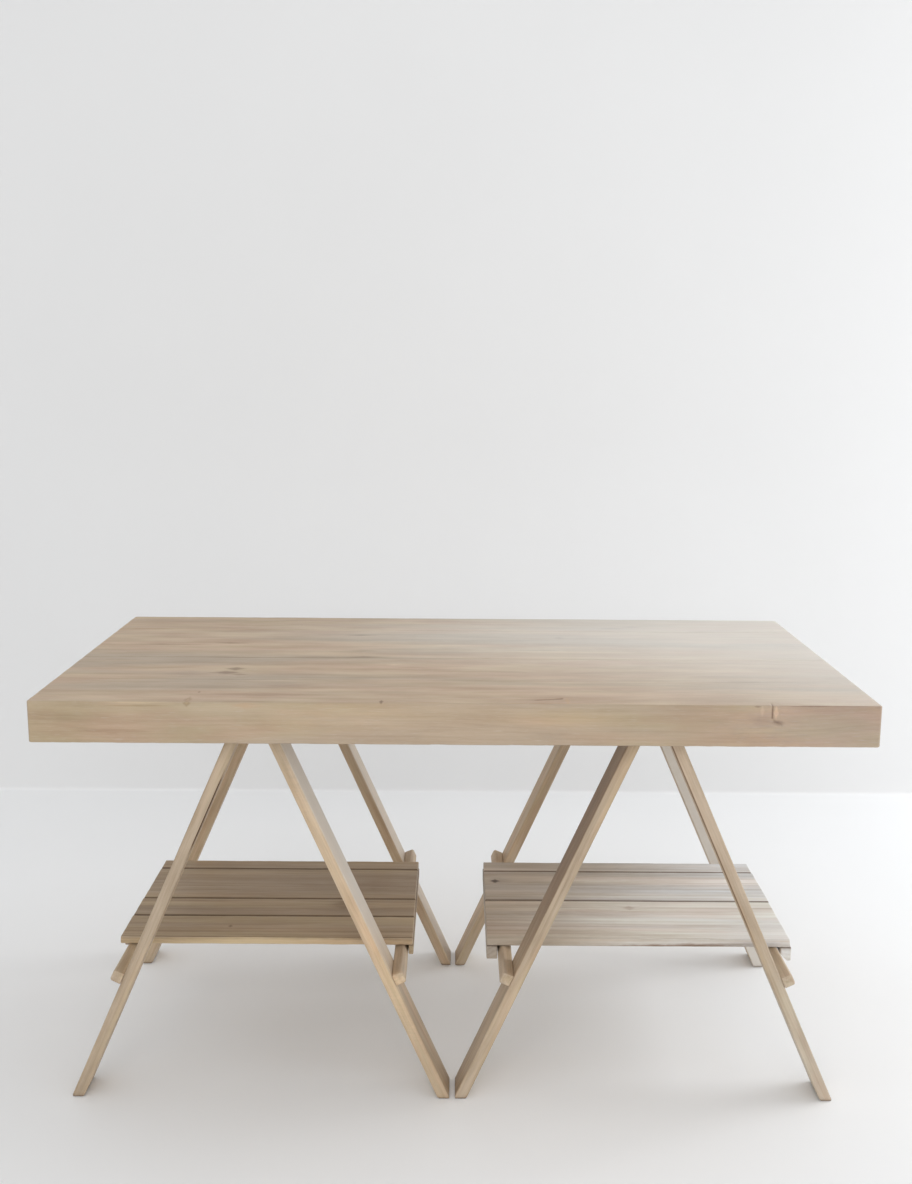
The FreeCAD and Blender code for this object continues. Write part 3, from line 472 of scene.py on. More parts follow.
materials = {
    "top_timber": makeTimber("limedTop", limedTop, topMarks),
    "edge_timber": makeTimber("limedEdge", limedEdge, edgeMarks),
    "leg_timber": makeTimber("limedLeg", limedLeg, legMarks),
    "left_shelf": makeTimber("brownShelf", brownShelf, shelfMarks),
    "right_shelf": makeTimber("paleShelf", paleShelf, shelfMarks),
    "core_timber": makeTimber("bareCore", bareCore, turn=(0.0, 0.0, 0.0)),
    "head_timber": makeTimber("limedHead", limedLeg, turn=(0.0, 0.0, math.pi / 2)),
    "hinge_steel": makeZinc("dullZinc", zincSteel),
}
print("materials:", ", ".join(material.name for material in materials.values()))


# Shapes as whole arrays

def ease(values):
    held = np.clip(values, 0.0, 1.0)
    return held * held * (3.0 - 2.0 * held)


def ripple(points, seed, waveLength, count=10, spread=(0.6, 1.6)):
    # sum of sine waves of random direction and phase, scaled to lie mostly within -1 and 1
    draw = np.random.default_rng(seed)
    ways = draw.normal(size=(count, 3))
    pitch = 2.0 * np.pi / waveLength * draw.uniform(*spread, (count, 1))
    ways *= pitch / np.linalg.norm(ways, axis=1, keepdims=True)
    phases = draw.uniform(0.0, 2.0 * np.pi, count)
    return np.sin(points @ ways.T + phases).sum(axis=1) / np.sqrt(2.0 * count)


def axisLines(cells, bend, hold):
    # each line's share of the flat stretch and its lean, the tangent of the turn from the flat
    turn = np.tan(np.linspace(0.0, np.pi / 4.0, bend + 1))
    flat = np.concatenate([[0.0], np.linspace(hold, 1.0 - hold, cells + 1), [1.0]])
    share = np.concatenate([np.zeros(bend), flat, np.ones(bend)])
    lean = np.concatenate([-turn[:0:-1], np.zeros(flat.size), turn[1:]])
    return share, lean


def gridFaces(key):
    # quads between neighbouring lines of a grid of vertex numbers
    return np.stack([key[:-1, :-1], key[1:, :-1], key[1:, 1:], key[:-1, 1:]], axis=-1).reshape(-1, 4)


def closeSlab(outer, inner):
    # an outer and an inner sheet, joined by walls round their borders
    key = np.arange(outer.shape[0] * outer.shape[1]).reshape(outer.shape[:2])
    rim = np.concatenate([key[:-1, 0], key[-1, :-1], key[:0:-1, -1], key[0, :0:-1]])
    wall = np.stack([rim, rim + key.size, np.roll(rim, -1) + key.size, np.roll(rim, -1)], axis=1)
    faces = np.concatenate([gridFaces(key), gridFaces(key + key.size)[:, ::-1], wall])
    return np.concatenate([outer.reshape(-1, 3), inner.reshape(-1, 3)]), faces


def edgeShare(normal):
    # 0 on a flat side, 1 in the middle of a rounded edge
    return np.clip((1.0 - np.abs(normal).max(axis=1)) / (1.0 - math.sqrt(0.5)), 0.0, 1.0)


def blockLattice(cells, bend, hold):
    # the six sides of a block as grids that share the vertices of its edges
    lines = [axisLines(count, bend, part) for count, part in zip(cells, hold)]
    counts = [share.size for share, lean in lines]
    quads = []
    for axis in range(3):
        first, second = (axis + 1) % 3, (axis + 2) % 3
        u, v = np.meshgrid(np.arange(counts[first]), np.arange(counts[second]), indexing="ij")
        for end, step in ((0, -1), (counts[axis] - 1, 1)):
            index = [None, None, None]
            index[axis], index[first], index[second] = np.full(u.shape, end), u, v
            quads.append(gridFaces(np.ravel_multi_index(index, counts))[:, ::step])
    keys, faces = np.unique(np.concatenate(quads), return_inverse=True)
    at = np.unravel_index(keys, counts)
    share = np.stack([lines[axis][0][at[axis]] for axis in range(3)], axis=1)
    lean = np.stack([lines[axis][1][at[axis]] for axis in range(3)], axis=1)
    return share, lean, faces.reshape(-1, 4)


def softBlock(half, radii, cells, bend=3, hold=0.0012):
    # point = share (half - radii at 1) - (1 - share)(half - radii at 0) + radii unit(lean),
    # so flats stay flat and edges are round
    half = np.asarray(half, float)
    share, lean, faces = blockLattice(cells, bend, hold / (2.0 * half))
    atLow = atHigh = radii
    if callable(radii):
        axes = np.arange(3)
        atLow, atHigh = (
            np.stack([radii(np.where(axes == axis, end, share))[:, axis] for axis in axes], axis=1)
            for end in (0.0, 1.0)
        )
        radii = radii(share)
    normal = lean / np.linalg.norm(lean, axis=1, keepdims=True)
    points = share * (half - atHigh) - (1.0 - share) * (half - atLow) + radii * normal
    return points, normal, share, edgeShare(normal), faces


wearSize = {"chip": 0.035, "nick": 0.012, "nickShare": 0.25, "hollow": 0.16}  # lengths in metres


def wearDown(points, normal, edge, seed, wear, wave):
    # worn edges and uneven planing only take timber away, so the piece stays inside its solid
    nicks = wearSize["nickShare"] * ripple(points, seed + 1, wearSize["nick"])
    chips = np.clip(ripple(points, seed, wearSize["chip"]) + nicks, 0.0, 1.0)
    hollows = 0.5 + 0.5 * np.clip(ripple(points, seed + 2, wearSize["hollow"]), -1.0, 1.0)
    return points - normal * (wear * edge * chips + wave * hollows * (1.0 - edge))[:, None]


def addPiece(name, points, faces, grain, edge, body, slot, nodes, grimeAndShade=None, material=None, stain=None):
    corners = points[faces]
    halves = np.cross(corners[:, 1], corners[:, 2]) + np.cross(corners[:, 2], corners[:, 3])
    if (corners[:, 0] * halves).sum() < 0.0:  # a mirrored piece has its faces turned outwards again
        faces = faces[:, ::-1]
    mesh = bpy.data.meshes.new(name)
    mesh.from_pydata(points.tolist(), [], faces.tolist())
    grainLayer = mesh.attributes.new("grain", "FLOAT_VECTOR", "POINT")
    grainLayer.data.foreach_set("vector", grain.astype(np.float32).ravel())
    for layer, values in (("edge", edge), ("grimeAndShade", grimeAndShade), ("stain", stain)):
        values = np.zeros(len(points)) if values is None else values
        mesh.attributes.new(layer, "FLOAT", "POINT").data.foreach_set("value", values.astype(np.float32))
    mesh.shade_smooth()
    mesh.materials.append(material or materials[slot])
    piece = newObject(name, mesh)
    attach(piece, body)
    if nodes:
        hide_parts(*nodes)


logCut = {"seed": 1000, "low": (0.0, -0.05, -0.01), "high": (9.0, 0.05, 0.03)}


def grainShift(seed):
    # every piece is cut from another place in the log
    draw = np.random.default_rng(logCut["seed"] + seed)
    return draw.uniform(logCut["low"], logCut["high"])


# Trestles: legs and rails lie in leg frames that lean both ways from the hinge axis

trestle = {
    "lean": math.radians(joints["left_fold"]["range_deg"][1] / 2.0),
    "axisHeight": joints["left_fold"]["pos_m"][2],
    "centre": joints["right_fold"]["pos_m"][0],
    "underside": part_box("underside_panel")[0].z,
}

legShape = {
    "inner": 0.018, "thick": 0.020, "edgeRadius": 0.0026, "endRadius": 0.0050,
    "cells": (110, 6, 3), "wear": 0.0007, "wave": 0.00015, "footShade": 0.004,
    "innerShadeReach": 0.016, "inwardSpread": 2.0, "deepShadeStart": 0.60, "deepShadeWeight": 3.0,
    "fineGrain": (1.6, 2.4, 2.4),  # narrow pieces are cut from finer timber
}

# painted light and shade on single sides of some legs: how far a side is limed as painted light (above 0)
# or browned as painted shade (below 0), over a stretch of height in metres with soft ends
legLightAndShade = {
    "left_outer_front_leg": {"inner": -1.0, "stretch": (0.44, 0.63), "soft": 0.05},
    "left_inner_front_leg": {"outer": 0.70, "stretch": (0.10, 0.90), "soft": 0.30},
    "left_inner_back_leg": {"outer": 0.50, "front": -0.25, "stretch": (-0.10, 0.90), "soft": 0.10},
    "right_inner_front_leg": {"outer": -0.67, "stretch": (0.08, 0.90), "soft": 0.35},
    "right_outer_front_leg": {"inner": -0.80, "stretch": (0.25, 0.90), "soft": 0.10},
    "right_outer_back_leg": {"outer": 0.30, "front": 0.80, "stretch": (-0.10, 0.90), "soft": 0.10},
}


def leanToWorld(out, across, up, side, sign):
    # out is square to the leg frame, up runs along it from the hinge axis
    lean = trestle["lean"]
    x = side * trestle["centre"] + sign * (out * math.cos(lean) - up * math.sin(lean))
    z = trestle["axisHeight"] + out * math.sin(lean) + up * math.cos(lean)
    return np.stack([x, across, z], axis=1)


def makeLeg(name, side, sign, body, seed):
    shape = legShape
    low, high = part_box(name)
    width = high.y - low.y
    lean = trestle["lean"]
    length = trestle["underside"] / math.cos(lean)
    radii = np.array([shape["endRadius"], shape["edgeRadius"], shape["edgeRadius"]])
    half = (length / 2.0, width / 2.0, shape["thick"] / 2.0)
    points, normal, share, edge, faces = softBlock(half, radii, shape["cells"])
    points = wearDown(points, normal, edge, seed, shape["wear"], shape["wave"])
    grain = points * shape["fineGrain"] + grainShift(seed)
    out = shape["inner"] + shape["thick"] / 2.0 + points[:, 2]
    # both ends are cut level: up = height / cos(lean) - out * tan(lean)
    height = (points[:, 0] / length + 0.5) * trestle["underside"] - trestle["axisHeight"]
    up = height / math.cos(lean) - out * math.tan(lean)
    spots = leanToWorld(out, points[:, 1] + (low.y + high.y) / 2.0, up, side, sign)
    # painted contact shade: darker towards the very bottom of each leg
    grimeAndShade = np.exp(-spots[:, 2] / shape["footShade"])
    stain = None
    if name in legLightAndShade:
        values = legLightAndShade[name]
        # the inner side is browned as painted shade along its front edge only
        behind = np.clip(points[:, 1] + half[1], 0.0, None)
        inward = np.clip(-shape["inwardSpread"] * normal[:, 2], 0.0, 1.0)
        turned = {
            "outer": np.clip(normal[:, 2], 0.0, 1.0),
            "front": np.clip(-normal[:, 1], 0.0, 1.0),
            "inner": inward * np.exp(-behind / shape["innerShadeReach"]),
        }
        stain = sum(values.get(key, 0.0) * amount for key, amount in turned.items())
        bottom, top = values["stretch"]
        stain *= ease((spots[:, 2] - bottom) / values["soft"]) * ease((top - spots[:, 2]) / values["soft"])
        # the deepest painted shade is nearly black, laid on as extra darkening
        grimeAndShade += shape["deepShadeWeight"] * np.clip(-stain - shape["deepShadeStart"], 0.0, 1.0)
    addPiece(name + "_limed", spots, faces, grain, edge, body, "leg_timber", [name], grimeAndShade, stain=stain)


railShape = {
    "inner": 0.038, "thick": 0.020, "height": 0.021, "nose": 0.0048, "cadRound": 0.0045,
    "edgeRadius": 0.0018, "endRadius": 0.003, "cells": (80, 5, 5), "wear": 0.0006, "wave": 0.0002,
}


def railRadii(share):
    # square beside the leg, a round nose on the outside
    nose = railShape["edgeRadius"] + (railShape["nose"] - railShape["edgeRadius"]) * ease(share[:, 2])
    return np.stack([np.full(nose.size, railShape["endRadius"]), nose, nose], axis=1)


def makeRail(name, side, sign, body, seed):
    shape = railShape
    low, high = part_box(name)
    half = ((high.y - low.y) / 2.0, shape["height"] / 2.0, shape["thick"] / 2.0)
    points, normal, share, edge, faces = softBlock(half, railRadii, shape["cells"], bend=5)
    points = wearDown(points, normal, edge, seed, shape["wear"], shape["wave"])
    out = shape["inner"] + half[2] + points[:, 2]
    # the leaning rail is highest over its outer rounded edge: that gives its upper face from its box
    lean, edgeRound = trestle["lean"], shape["cadRound"]
    edgeRise = (shape["inner"] + shape["thick"] - edgeRound) * math.sin(lean) + edgeRound
    top = (high.z - trestle["axisHeight"] - edgeRise) / math.cos(lean) + edgeRound
    up = top - half[1] + points[:, 1]
    spots = leanToWorld(out, points[:, 0], up, side, sign)
    grain = points * legShape["fineGrain"] + grainShift(seed)
    addPiece(name + "_limed", spots, faces, grain, edge, body, "leg_timber", [name])


trestleFinishes = {"head_rail": "head_timber", "tenons": "core_timber", "hinge_leaves": "hinge_steel"}
seed = 10
for sideName, side in sides.items():
    for frameName, sign in (("outer", side), ("inner", -side)):
        stem = f"{sideName}_{frameName}"
        body = stem + "_frame"
        for part in ("front_leg", "back_leg"):
            makeLeg(f"{stem}_{part}", side, sign, body, seed)
            seed += 10
        makeRail(stem + "_shelf_rail", side, sign, body, seed)
        seed += 10
        for part, finish in trestleFinishes.items():
            dressNode(f"{stem}_{part}", finish)
    dressNode(sideName + "_hinge_pins", "hinge_steel")
print("trestles: legs and rails")


# Screws of the hinge leaves: countersunk heads with a cross recess

screwShape = {
    "radius": 0.0029, "proud": 0.0002, "depth": 0.0012, "coneShare": 0.6,
    "slotDepth": 0.0009, "slot": 0.13, "slotSoft": 0.03, "slotReach": 0.62, "slotEndSoft": 0.2,
    "spread": 0.015, "drop": -0.0095, "leafFace": 0.001, "stations": (-0.18, 0.18),
    "lines": (0.10, 0.17, 0.30, 0.50, 0.66, 0.86, 1.0),  # grid lines on each side of the middle, in radii
}


def makeScrews(stem, side, sign):
    # disc: x = u sqrt(1 - v v / 2), y = v sqrt(1 - u u / 2); the height dips in a cross of two slots
    shape = screwShape
    half = np.array(shape["lines"])
    lines = np.concatenate([-half[::-1], [0.0], half])
    u, v = np.meshgrid(lines, lines, indexing="ij")
    x, y = u * np.sqrt(1.0 - v * v / 2.0), v * np.sqrt(1.0 - u * u / 2.0)

    def slot(width, reach):
        inSlot = ease((shape["slot"] + shape["slotSoft"] - np.abs(width)) / (2.0 * shape["slotSoft"]))
        return inSlot * ease((shape["slotReach"] - np.abs(reach)) / shape["slotEndSoft"])

    rise = shape["proud"] * (1.0 - (x * x + y * y)) - shape["slotDepth"] * np.maximum(slot(u, v), slot(v, u))
    upper = np.stack([x * shape["radius"], y * shape["radius"], rise], axis=-1)
    under = upper * [shape["coneShare"], shape["coneShare"], 0.0] - [0.0, 0.0, shape["depth"]]
    head, faces = closeSlab(upper, under)
    stations = np.add.outer(shape["stations"], (-shape["spread"], shape["spread"])).ravel()
    across = (head[:, 0] + stations[:, None]).ravel()
    up = np.tile(head[:, 1] + shape["drop"], stations.size)
    out = np.tile(shape["leafFace"] - head[:, 2], stations.size)
    points = leanToWorld(out, across, up, side, sign)
    starts = np.arange(stations.size)[:, None, None] * len(head)
    allFaces = (faces + starts).reshape(-1, 4)
    addPiece(stem + "_hinge_screws", points, allFaces, points, None, stem + "_frame", "hinge_steel", [])


for sideName, side in sides.items():
    makeScrews(sideName + "_outer", side, side)
    makeScrews(sideName + "_inner", side, -side)
print("hinge screws")


# Shelves: boards of mixed widths with softened edges, and the cleats that hook over the rails

shelfShape = {
    "radius": 0.0026, "endRadius": 0.0022,
    "cellLength": 0.005, "cellWidth": 0.009, "leastCells": 4, "deepCells": 3,
    "wear": 0.0009, "wave": 0.0003, "endStep": 0.0016, "rolledAcross": 0.009, "rolledDown": 0.0105,
    "grimeAndShadeReach": 0.004, "frontLine": {"left_shelf": 1.0, "right_shelf": 0.3},
    "longGrain": (0.55, 1.3, 1.3), "rolled": 1.0, "softened": 0.25, "jointFade": 0.35,
    "uneven": 0.3, "unevenLength": 0.11, "unevenAcross": 0.04, "unevenDown": 0.02,
    "linePlace": 0.78, "lineWander": 0.10, "lineLength": 0.09, "lineWidth": 0.12,
}


def makeShelfBoard(name, body, seed, rolled, joined):
    shape = shelfShape
    low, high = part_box(name)
    draw = np.random.default_rng(seed)
    size = np.array(high - low)
    middle = np.array(high + low) / 2.0
    wide = max(shape["leastCells"], int(size[1] / shape["cellWidth"]))
    cells = (int(size[0] / shape["cellLength"]), wide, shape["deepCells"])

    def radii(share):
        # uneven edges; the rolled front edge is an ellipse that fades across the board
        along = share * [size[0], shape["unevenAcross"], shape["unevenDown"]]
        front = rolled * (1.0 - share[:, 1]) * share[:, 2]
        waves = np.clip(ripple(along, seed + 3, shape["unevenLength"]), -1.0, 1.0)
        plain = shape["radius"] * (1.0 + shape["uneven"] * (1.0 - rolled) * waves)
        across = plain + (shape["rolledAcross"] - shape["radius"]) * front
        down = plain + (shape["rolledDown"] - shape["radius"]) * front
        return np.stack([np.full(across.size, shape["endRadius"]), across, down], axis=1)

    points, normal, share, edge, faces = softBlock(size / 2.0, radii, cells, bend=4)
    points = wearDown(points, normal, edge, seed, shape["wear"], shape["wave"])
    steps = draw.uniform(0.0, shape["endStep"], 2)  # each board is cut a little shorter than the next
    points[:, 0] += steps[0] * (1.0 - share[:, 0]) - steps[1] * share[:, 0]
    grain = points * shape["longGrain"] + grainShift(seed)
    # painted shade in the joints: darker on the sides that face another board and fading away from them
    grimeAndShade = np.zeros(len(points))
    for turned, isJoined in ((-1.0, joined[0]), (1.0, joined[1])):
        apart = size[1] / 2.0 - turned * points[:, 1]
        fade = shape["jointFade"] * np.exp(-apart / shape["grimeAndShadeReach"])
        grimeAndShade += isJoined * (np.clip(turned * normal[:, 1], 0.0, 1.0) + fade)
    if not joined[0]:
        # a wavy dark line along the upper front edge: turn is 0 on the front face and 1 on the upper face
        turn = np.arctan2(np.clip(normal[:, 2], 0.0, 1.0), np.clip(-normal[:, 1], 1e-6, 1.0)) / (np.pi / 2.0)
        waves = ripple(points * [1.0, 0.0, 0.0], seed + 5, shape["lineLength"])
        apart = (turn - shape["linePlace"] - shape["lineWander"] * waves) / shape["lineWidth"]
        line = (normal[:, 1] < -0.01) * np.exp(-apart ** 2)  # only where a face turns to the front
        grimeAndShade += shape["frontLine"][body] * line
    slot, material = "shelf_timber", materials[body]
    addPiece(name + "_limed", points + middle, faces, grain, edge, body, slot, [name], grimeAndShade, material)


cleatShape = {"radius": 0.0022, "cells": (60, 8, 10), "wear": 0.0007, "wave": 0.0002, "grimeAndShadeReach": 0.002}
cleatBevels = {"right_shelf_outer_cleat": 0.013}


def makeCleat(name, body, seed):
    shape = cleatShape
    low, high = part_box(name)
    size, middle = np.array(high - low), np.array(high + low) / 2.0
    half = size[[1, 0, 2]] / 2.0  # the grain runs along Y
    radii = np.full(3, shape["radius"])
    points, normal, share, edge, faces = softBlock(half, radii, shape["cells"])
    points = wearDown(points, normal, edge, seed, shape["wear"], shape["wave"])
    # the lower inner edge is bevelled: points outside the bevel's plane are laid square onto it
    bevel = cleatBevels.get(name, 0.0)
    inside = -math.copysign(1.0, middle[0])
    away = bevel - (half[1] - inside * points[:, 1]) - (half[2] + points[:, 2])
    shift = np.clip(away, 0.0, None) / 2.0
    points[:, 1] -= inside * shift
    points[:, 2] += shift
    grain = points + grainShift(seed)
    grimeAndShade = np.exp((points[:, 2] - half[2]) / shape["grimeAndShadeReach"])  # under the boards
    spots = points[:, [1, 0, 2]] + middle
    slot, material = "shelf_timber", materials[body]
    addPiece(name + "_limed", spots, faces, grain, edge, body, slot, [name], grimeAndShade, material)


seed = 400
for sideName in sides:
    body = sideName + "_shelf"
    boards = sorted(node for node in frame["nodes"] if node.startswith(body + "_board_"))
    for number, node in enumerate(boards):
        rolled = shelfShape["rolled" if sideName == "right" and number == 0 else "softened"]
        makeShelfBoard(node, body, seed, rolled, (number > 0, number < len(boards) - 1))
        seed += 10
    for part in ("outer", "inner"):
        makeCleat(f"{body}_{part}_cleat", body, seed)
        seed += 10
    dressNode(body + "_tenons", "core_timber")
print("shelves: boards and cleats")


# Tabletop: one soft-edged shell, shared out between the upper boards and the mitred edge boards

topShape = {
    "half": np.array([0.700, 0.350, 0.036]), "middle": np.array([0.0, 0.0, 0.714]),
    "radii": np.array([0.006, 0.006, 0.003]), "board": 0.020, "tuck": 0.004,
    "cells": (300, 120, 30), "bend": 4, "hold": 0.001, "wear": 0.0009, "wave": 0.0005, "seed": 900,
    "boards": 5, "boardSeed": 910, "underRows": 4, "lowestShare": 0.01,
    # stretches with finer lines along X and Y: from, to, step
    "fine": ([(0.120, 0.186, 0.0018), (0.488, 0.548, 0.0012)], [(-0.337, -0.305, 0.0016)], []),
}
tornChip = {
    "front": -0.330, "frontFade": 0.012, "foot": 0.7245, "footFade": 0.004,
    "groove": 0.520, "grooveWidth": 0.0019, "grooveDepth": 0.0017, "grooveDirtAndShade": 0.7,
    "flake": 0.533, "flakeStart": 0.0012, "flakeEnd": 0.0016, "flakeDepth": 0.0007,
}
tornFoot = {
    "start": (0.5226, 0.7234), "startFade": 0.002, "slope": -0.494, "end": 0.541, "endFade": 0.006,
    "depth": 0.0012, "width": 0.0030, "dirtAndShade": 0.45,
}
topCrack = {
    "start": (0.124, -0.330), "end": (0.180, -0.316), "thin": 0.0009, "thick": 0.0038, "depth": 0.0011,
    "startShare": 0.25, "endShare": 1.03, "endFade": 0.06, "above": 0.740, "aboveFade": 0.004, "dirtAndShade": 0.85,
}


def shellLines(axis):
    share, lean = axisLines(topShape["cells"][axis], topShape["bend"], topShape["hold"])
    inner = (2.0 * share - 1.0) * (topShape["half"][axis] - topShape["radii"][axis])
    for low, high, step in topShape["fine"][axis]:
        coarse = (inner < low - step / 2.0) | (inner > high + step / 2.0)
        close = np.arange(low, high + step / 2.0, step)
        inner = np.concatenate([inner[coarse], close])
        lean = np.concatenate([lean[coarse], np.zeros(close.size)])
    order = np.lexsort((lean, inner))
    return inner[order], lean[order]


def topDamage(points):
    # depth in metres and darkening of the torn chip on the front edge and of the wedge-shaped crack behind
    # it: soiling and painted shade in their grooves
    x, y, z = points.T
    chip, foot, crack = tornChip, tornFoot, topCrack
    front = ease((chip["front"] - y) / chip["frontFade"])
    standing = ease((z - chip["foot"]) / chip["footFade"])
    groove = np.exp(-((x - chip["groove"]) / chip["grooveWidth"]) ** 2) * standing
    flakeStart = ease((x - chip["groove"]) / chip["flakeStart"])
    flake = flakeStart * ease((chip["flake"] - x) / chip["flakeEnd"]) * standing
    footX, footZ = foot["start"]
    aside = (z - footZ - foot["slope"] * (x - footX)) / math.hypot(1.0, foot["slope"])
    trough = np.exp(-(aside / foot["width"]) ** 2)
    trough *= ease((x - footX) / foot["startFade"] + 1.0) * ease((foot["end"] - x) / foot["endFade"])
    along = (x - crack["start"][0]) / (crack["end"][0] - crack["start"][0])
    line = crack["start"][1] + along * (crack["end"][1] - crack["start"][1])
    width = crack["thin"] + np.clip(along, 0.0, 1.0) * (crack["thick"] - crack["thin"])
    opening = np.exp(-((y - line) / width) ** 2) * ease(along / crack["startShare"])
    opening *= ease((crack["endShare"] - along) / crack["endFade"])
    opening *= ease((z - crack["above"]) / crack["aboveFade"])
    torn = chip["grooveDepth"] * groove + chip["flakeDepth"] * flake + foot["depth"] * trough
    dirtAndShade = front * (chip["grooveDirtAndShade"] * groove + foot["dirtAndShade"] * trough) + crack["dirtAndShade"] * opening
    return front * torn + crack["depth"] * opening, dirtAndShade


def shellSheet(innerU, leanU, innerV, leanV, axis, sign):
    # one side of the shell: point = inner corner + radii * unit(lean), then worn from outside
    first, second = (axis + 1) % 3, (axis + 2) % 3
    shape = (innerU.size, innerV.size)
    lean = np.empty(shape + (3,))
    inner = np.empty(shape + (3,))
    lean[..., axis], lean[..., first], lean[..., second] = sign, leanU[:, None], leanV[None, :]
    inner[..., axis] = sign * (topShape["half"][axis] - topShape["radii"][axis])
    inner[..., first], inner[..., second] = innerU[:, None], innerV[None, :]
    normal = (lean / np.linalg.norm(lean, axis=-1, keepdims=True)).reshape(-1, 3)
    points = inner.reshape(-1, 3) + topShape["radii"] * normal + topShape["middle"]
    edge = edgeShare(normal)
    points = wearDown(points, normal, edge, topShape["seed"], topShape["wear"], topShape["wave"])
    points -= normal * topDamage(points)[0][:, None]
    return points.reshape(shape + (3,)), edge.reshape(shape)


def addTopPiece(node, outer, inner, edge, order, seed, slot):
    points, faces = closeSlab(outer, inner)
    edges = np.concatenate([edge.ravel(), np.zeros(edge.size)])
    grimeAndShade = topDamage(points)[1]
    grain = points[:, order] + grainShift(seed)
    addPiece(node + "_limed", points, faces, grain, edges, "tabletop", slot, [node], grimeAndShade)


def drawIn(lines, leans, axis, ends):
    # lines of the hidden side: drawn in by the board's thickness at the ends that are mitred
    flat = topShape["half"][axis] - topShape["radii"][axis]
    limit = topShape["half"][axis] - topShape["board"] - topShape["tuck"]
    low = -limit if ends[0] else lines.min()
    high = limit if ends[1] else lines.max()
    start = -flat if ends[0] else low
    stop = flat if ends[1] else high
    return low + (lines - start) * (high - low) / (stop - start) + leans * topShape["tuck"]


def boardLines(lines, leans, low, high, ends):
    # the shell's lines over one board, with a line of its own on each seam
    keep = np.ones(lines.size, bool)
    seams = []
    if not ends[0]:
        keep &= lines > low + topShape["hold"]
        seams.append(low)
    if not ends[1]:
        keep &= lines < high - topShape["hold"]
        seams.append(high)
    allLines = np.concatenate([lines[keep], seams])
    allLeans = np.concatenate([leans[keep], np.zeros(len(seams))])
    order = np.lexsort((allLeans, allLines))
    return allLines[order], allLeans[order]


def makeTopBoards():
    count = topShape["boards"]
    linesX, leansX = shellLines(0)
    allY, allLeansY = shellLines(1)
    under = topShape["middle"][2] + topShape["half"][2] - topShape["board"]
    hiddenX = drawIn(linesX, leansX, 0, (True, True))
    for number in range(count):
        node = f"top_board_{number + 1}"
        low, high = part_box(node)
        ends = (number == 0, number == count - 1)
        linesY, leansY = boardLines(allY, allLeansY, low.y, high.y, ends)
        outer, edge = shellSheet(linesX, leansX, linesY, leansY, 2, 1.0)
        hiddenY = drawIn(linesY, leansY, 1, ends)
        inner = np.stack(np.broadcast_arrays(hiddenX[:, None], hiddenY[None, :], under), axis=-1)
        addTopPiece(node, outer, inner, edge, [0, 1, 2], topShape["boardSeed"], "top_timber")


def makeEdgeBoard(node, reach, along, sign, seed):
    # reach is the axis that the board faces, along the axis it runs on
    bend = topShape["bend"]
    upright, run = shellLines(2), shellLines(along)
    # rows from the lower arris over the underside to the panel
    halfReach, radius = topShape["half"][reach], topShape["radii"][reach]
    sunk = np.linspace(radius, topShape["board"], topShape["underRows"])[1:]
    rowLines = np.concatenate([np.full(bend, halfReach - radius), halfReach - sunk]) * sign
    turned = np.tan(np.linspace(np.pi / 4.0, 0.0, bend + 1))[1:]
    under = rowLines, np.concatenate([turned, np.zeros(sunk.size)]) * sign
    if reach == 1:
        face, faceEdge = shellSheet(*upright, *run, reach, sign)
        rows, rowEdge = shellSheet(*run, *under, 2, -1.0)
        rows, rowEdge = rows.swapaxes(0, 1)[::-1], rowEdge.T[::-1]
    else:
        face, faceEdge = shellSheet(*run, *upright, reach, sign)
        face, faceEdge = face.swapaxes(0, 1), faceEdge.T
        rows, rowEdge = shellSheet(*under, *run, 2, -1.0)
        rows, rowEdge = rows[::-1], rowEdge[::-1]
    inset = halfReach - np.abs(rows[:, rows.shape[1] // 2, reach])
    longest = np.abs(rows[:, :, along]).max(axis=1)
    rows[:, :, along] *= ((topShape["half"][along] - inset) / longest)[:, None]  # mitred at both ends
    outer = np.concatenate([rows, face])
    edge = np.concatenate([rowEdge, faceEdge])
    bottom = topShape["middle"][2] - topShape["half"][2]
    inner = np.empty_like(outer)
    inner[..., along] = drawIn(*run, along, (True, True))[None, :]
    inner[..., reach] = sign * (halfReach - topShape["board"])
    thick = 2.0 * topShape["half"][2] - topShape["board"]
    inner[..., 2] = (bottom + np.linspace(topShape["lowestShare"], 1.0, len(outer)) * thick)[:, None]
    addTopPiece(node, outer, inner, edge, [along, 2, reach], seed, "edge_timber")


makeTopBoards()
# the axis that each edge board faces, which way, and its seed
edgeBoards = {"front": (1, -1.0, 970), "back": (1, 1.0, 980), "left": (0, -1.0, 990), "right": (0, 1.0, 1000)}
for name, (reach, sign, seed) in edgeBoards.items():
    makeEdgeBoard(name + "_edge_board", reach, 1 - reach, sign, seed)
for node in ("cross_ribs", "underside_panel"):
    dressNode(node, "core_timber")
print("tabletop: boards, edge boards and core")


# Floor and wall in one sheet, seen from its front only, so that a view from behind looks through it

room = {
    "wall": 1.35, "corner": 0.012, "bendStart": 0.05, "bendEnd": 0.06, "steps": 9,
    "near": -7.0, "high": 5.0, "side": 7.0,
    "floorColour": (0.920, 0.925, 0.930, 1.0), "wallColour": (0.87, 0.87, 0.87, 1.0), "wallFoot": 0.01,
    "cloud": ((1.2, 1.2, 1.2), 2.0, 0.5), "cloudSpan": (0.3, 0.7), "cloudTone": (0.985, 1.0),
    "rough": 0.6, "gloss": 0.25,
}


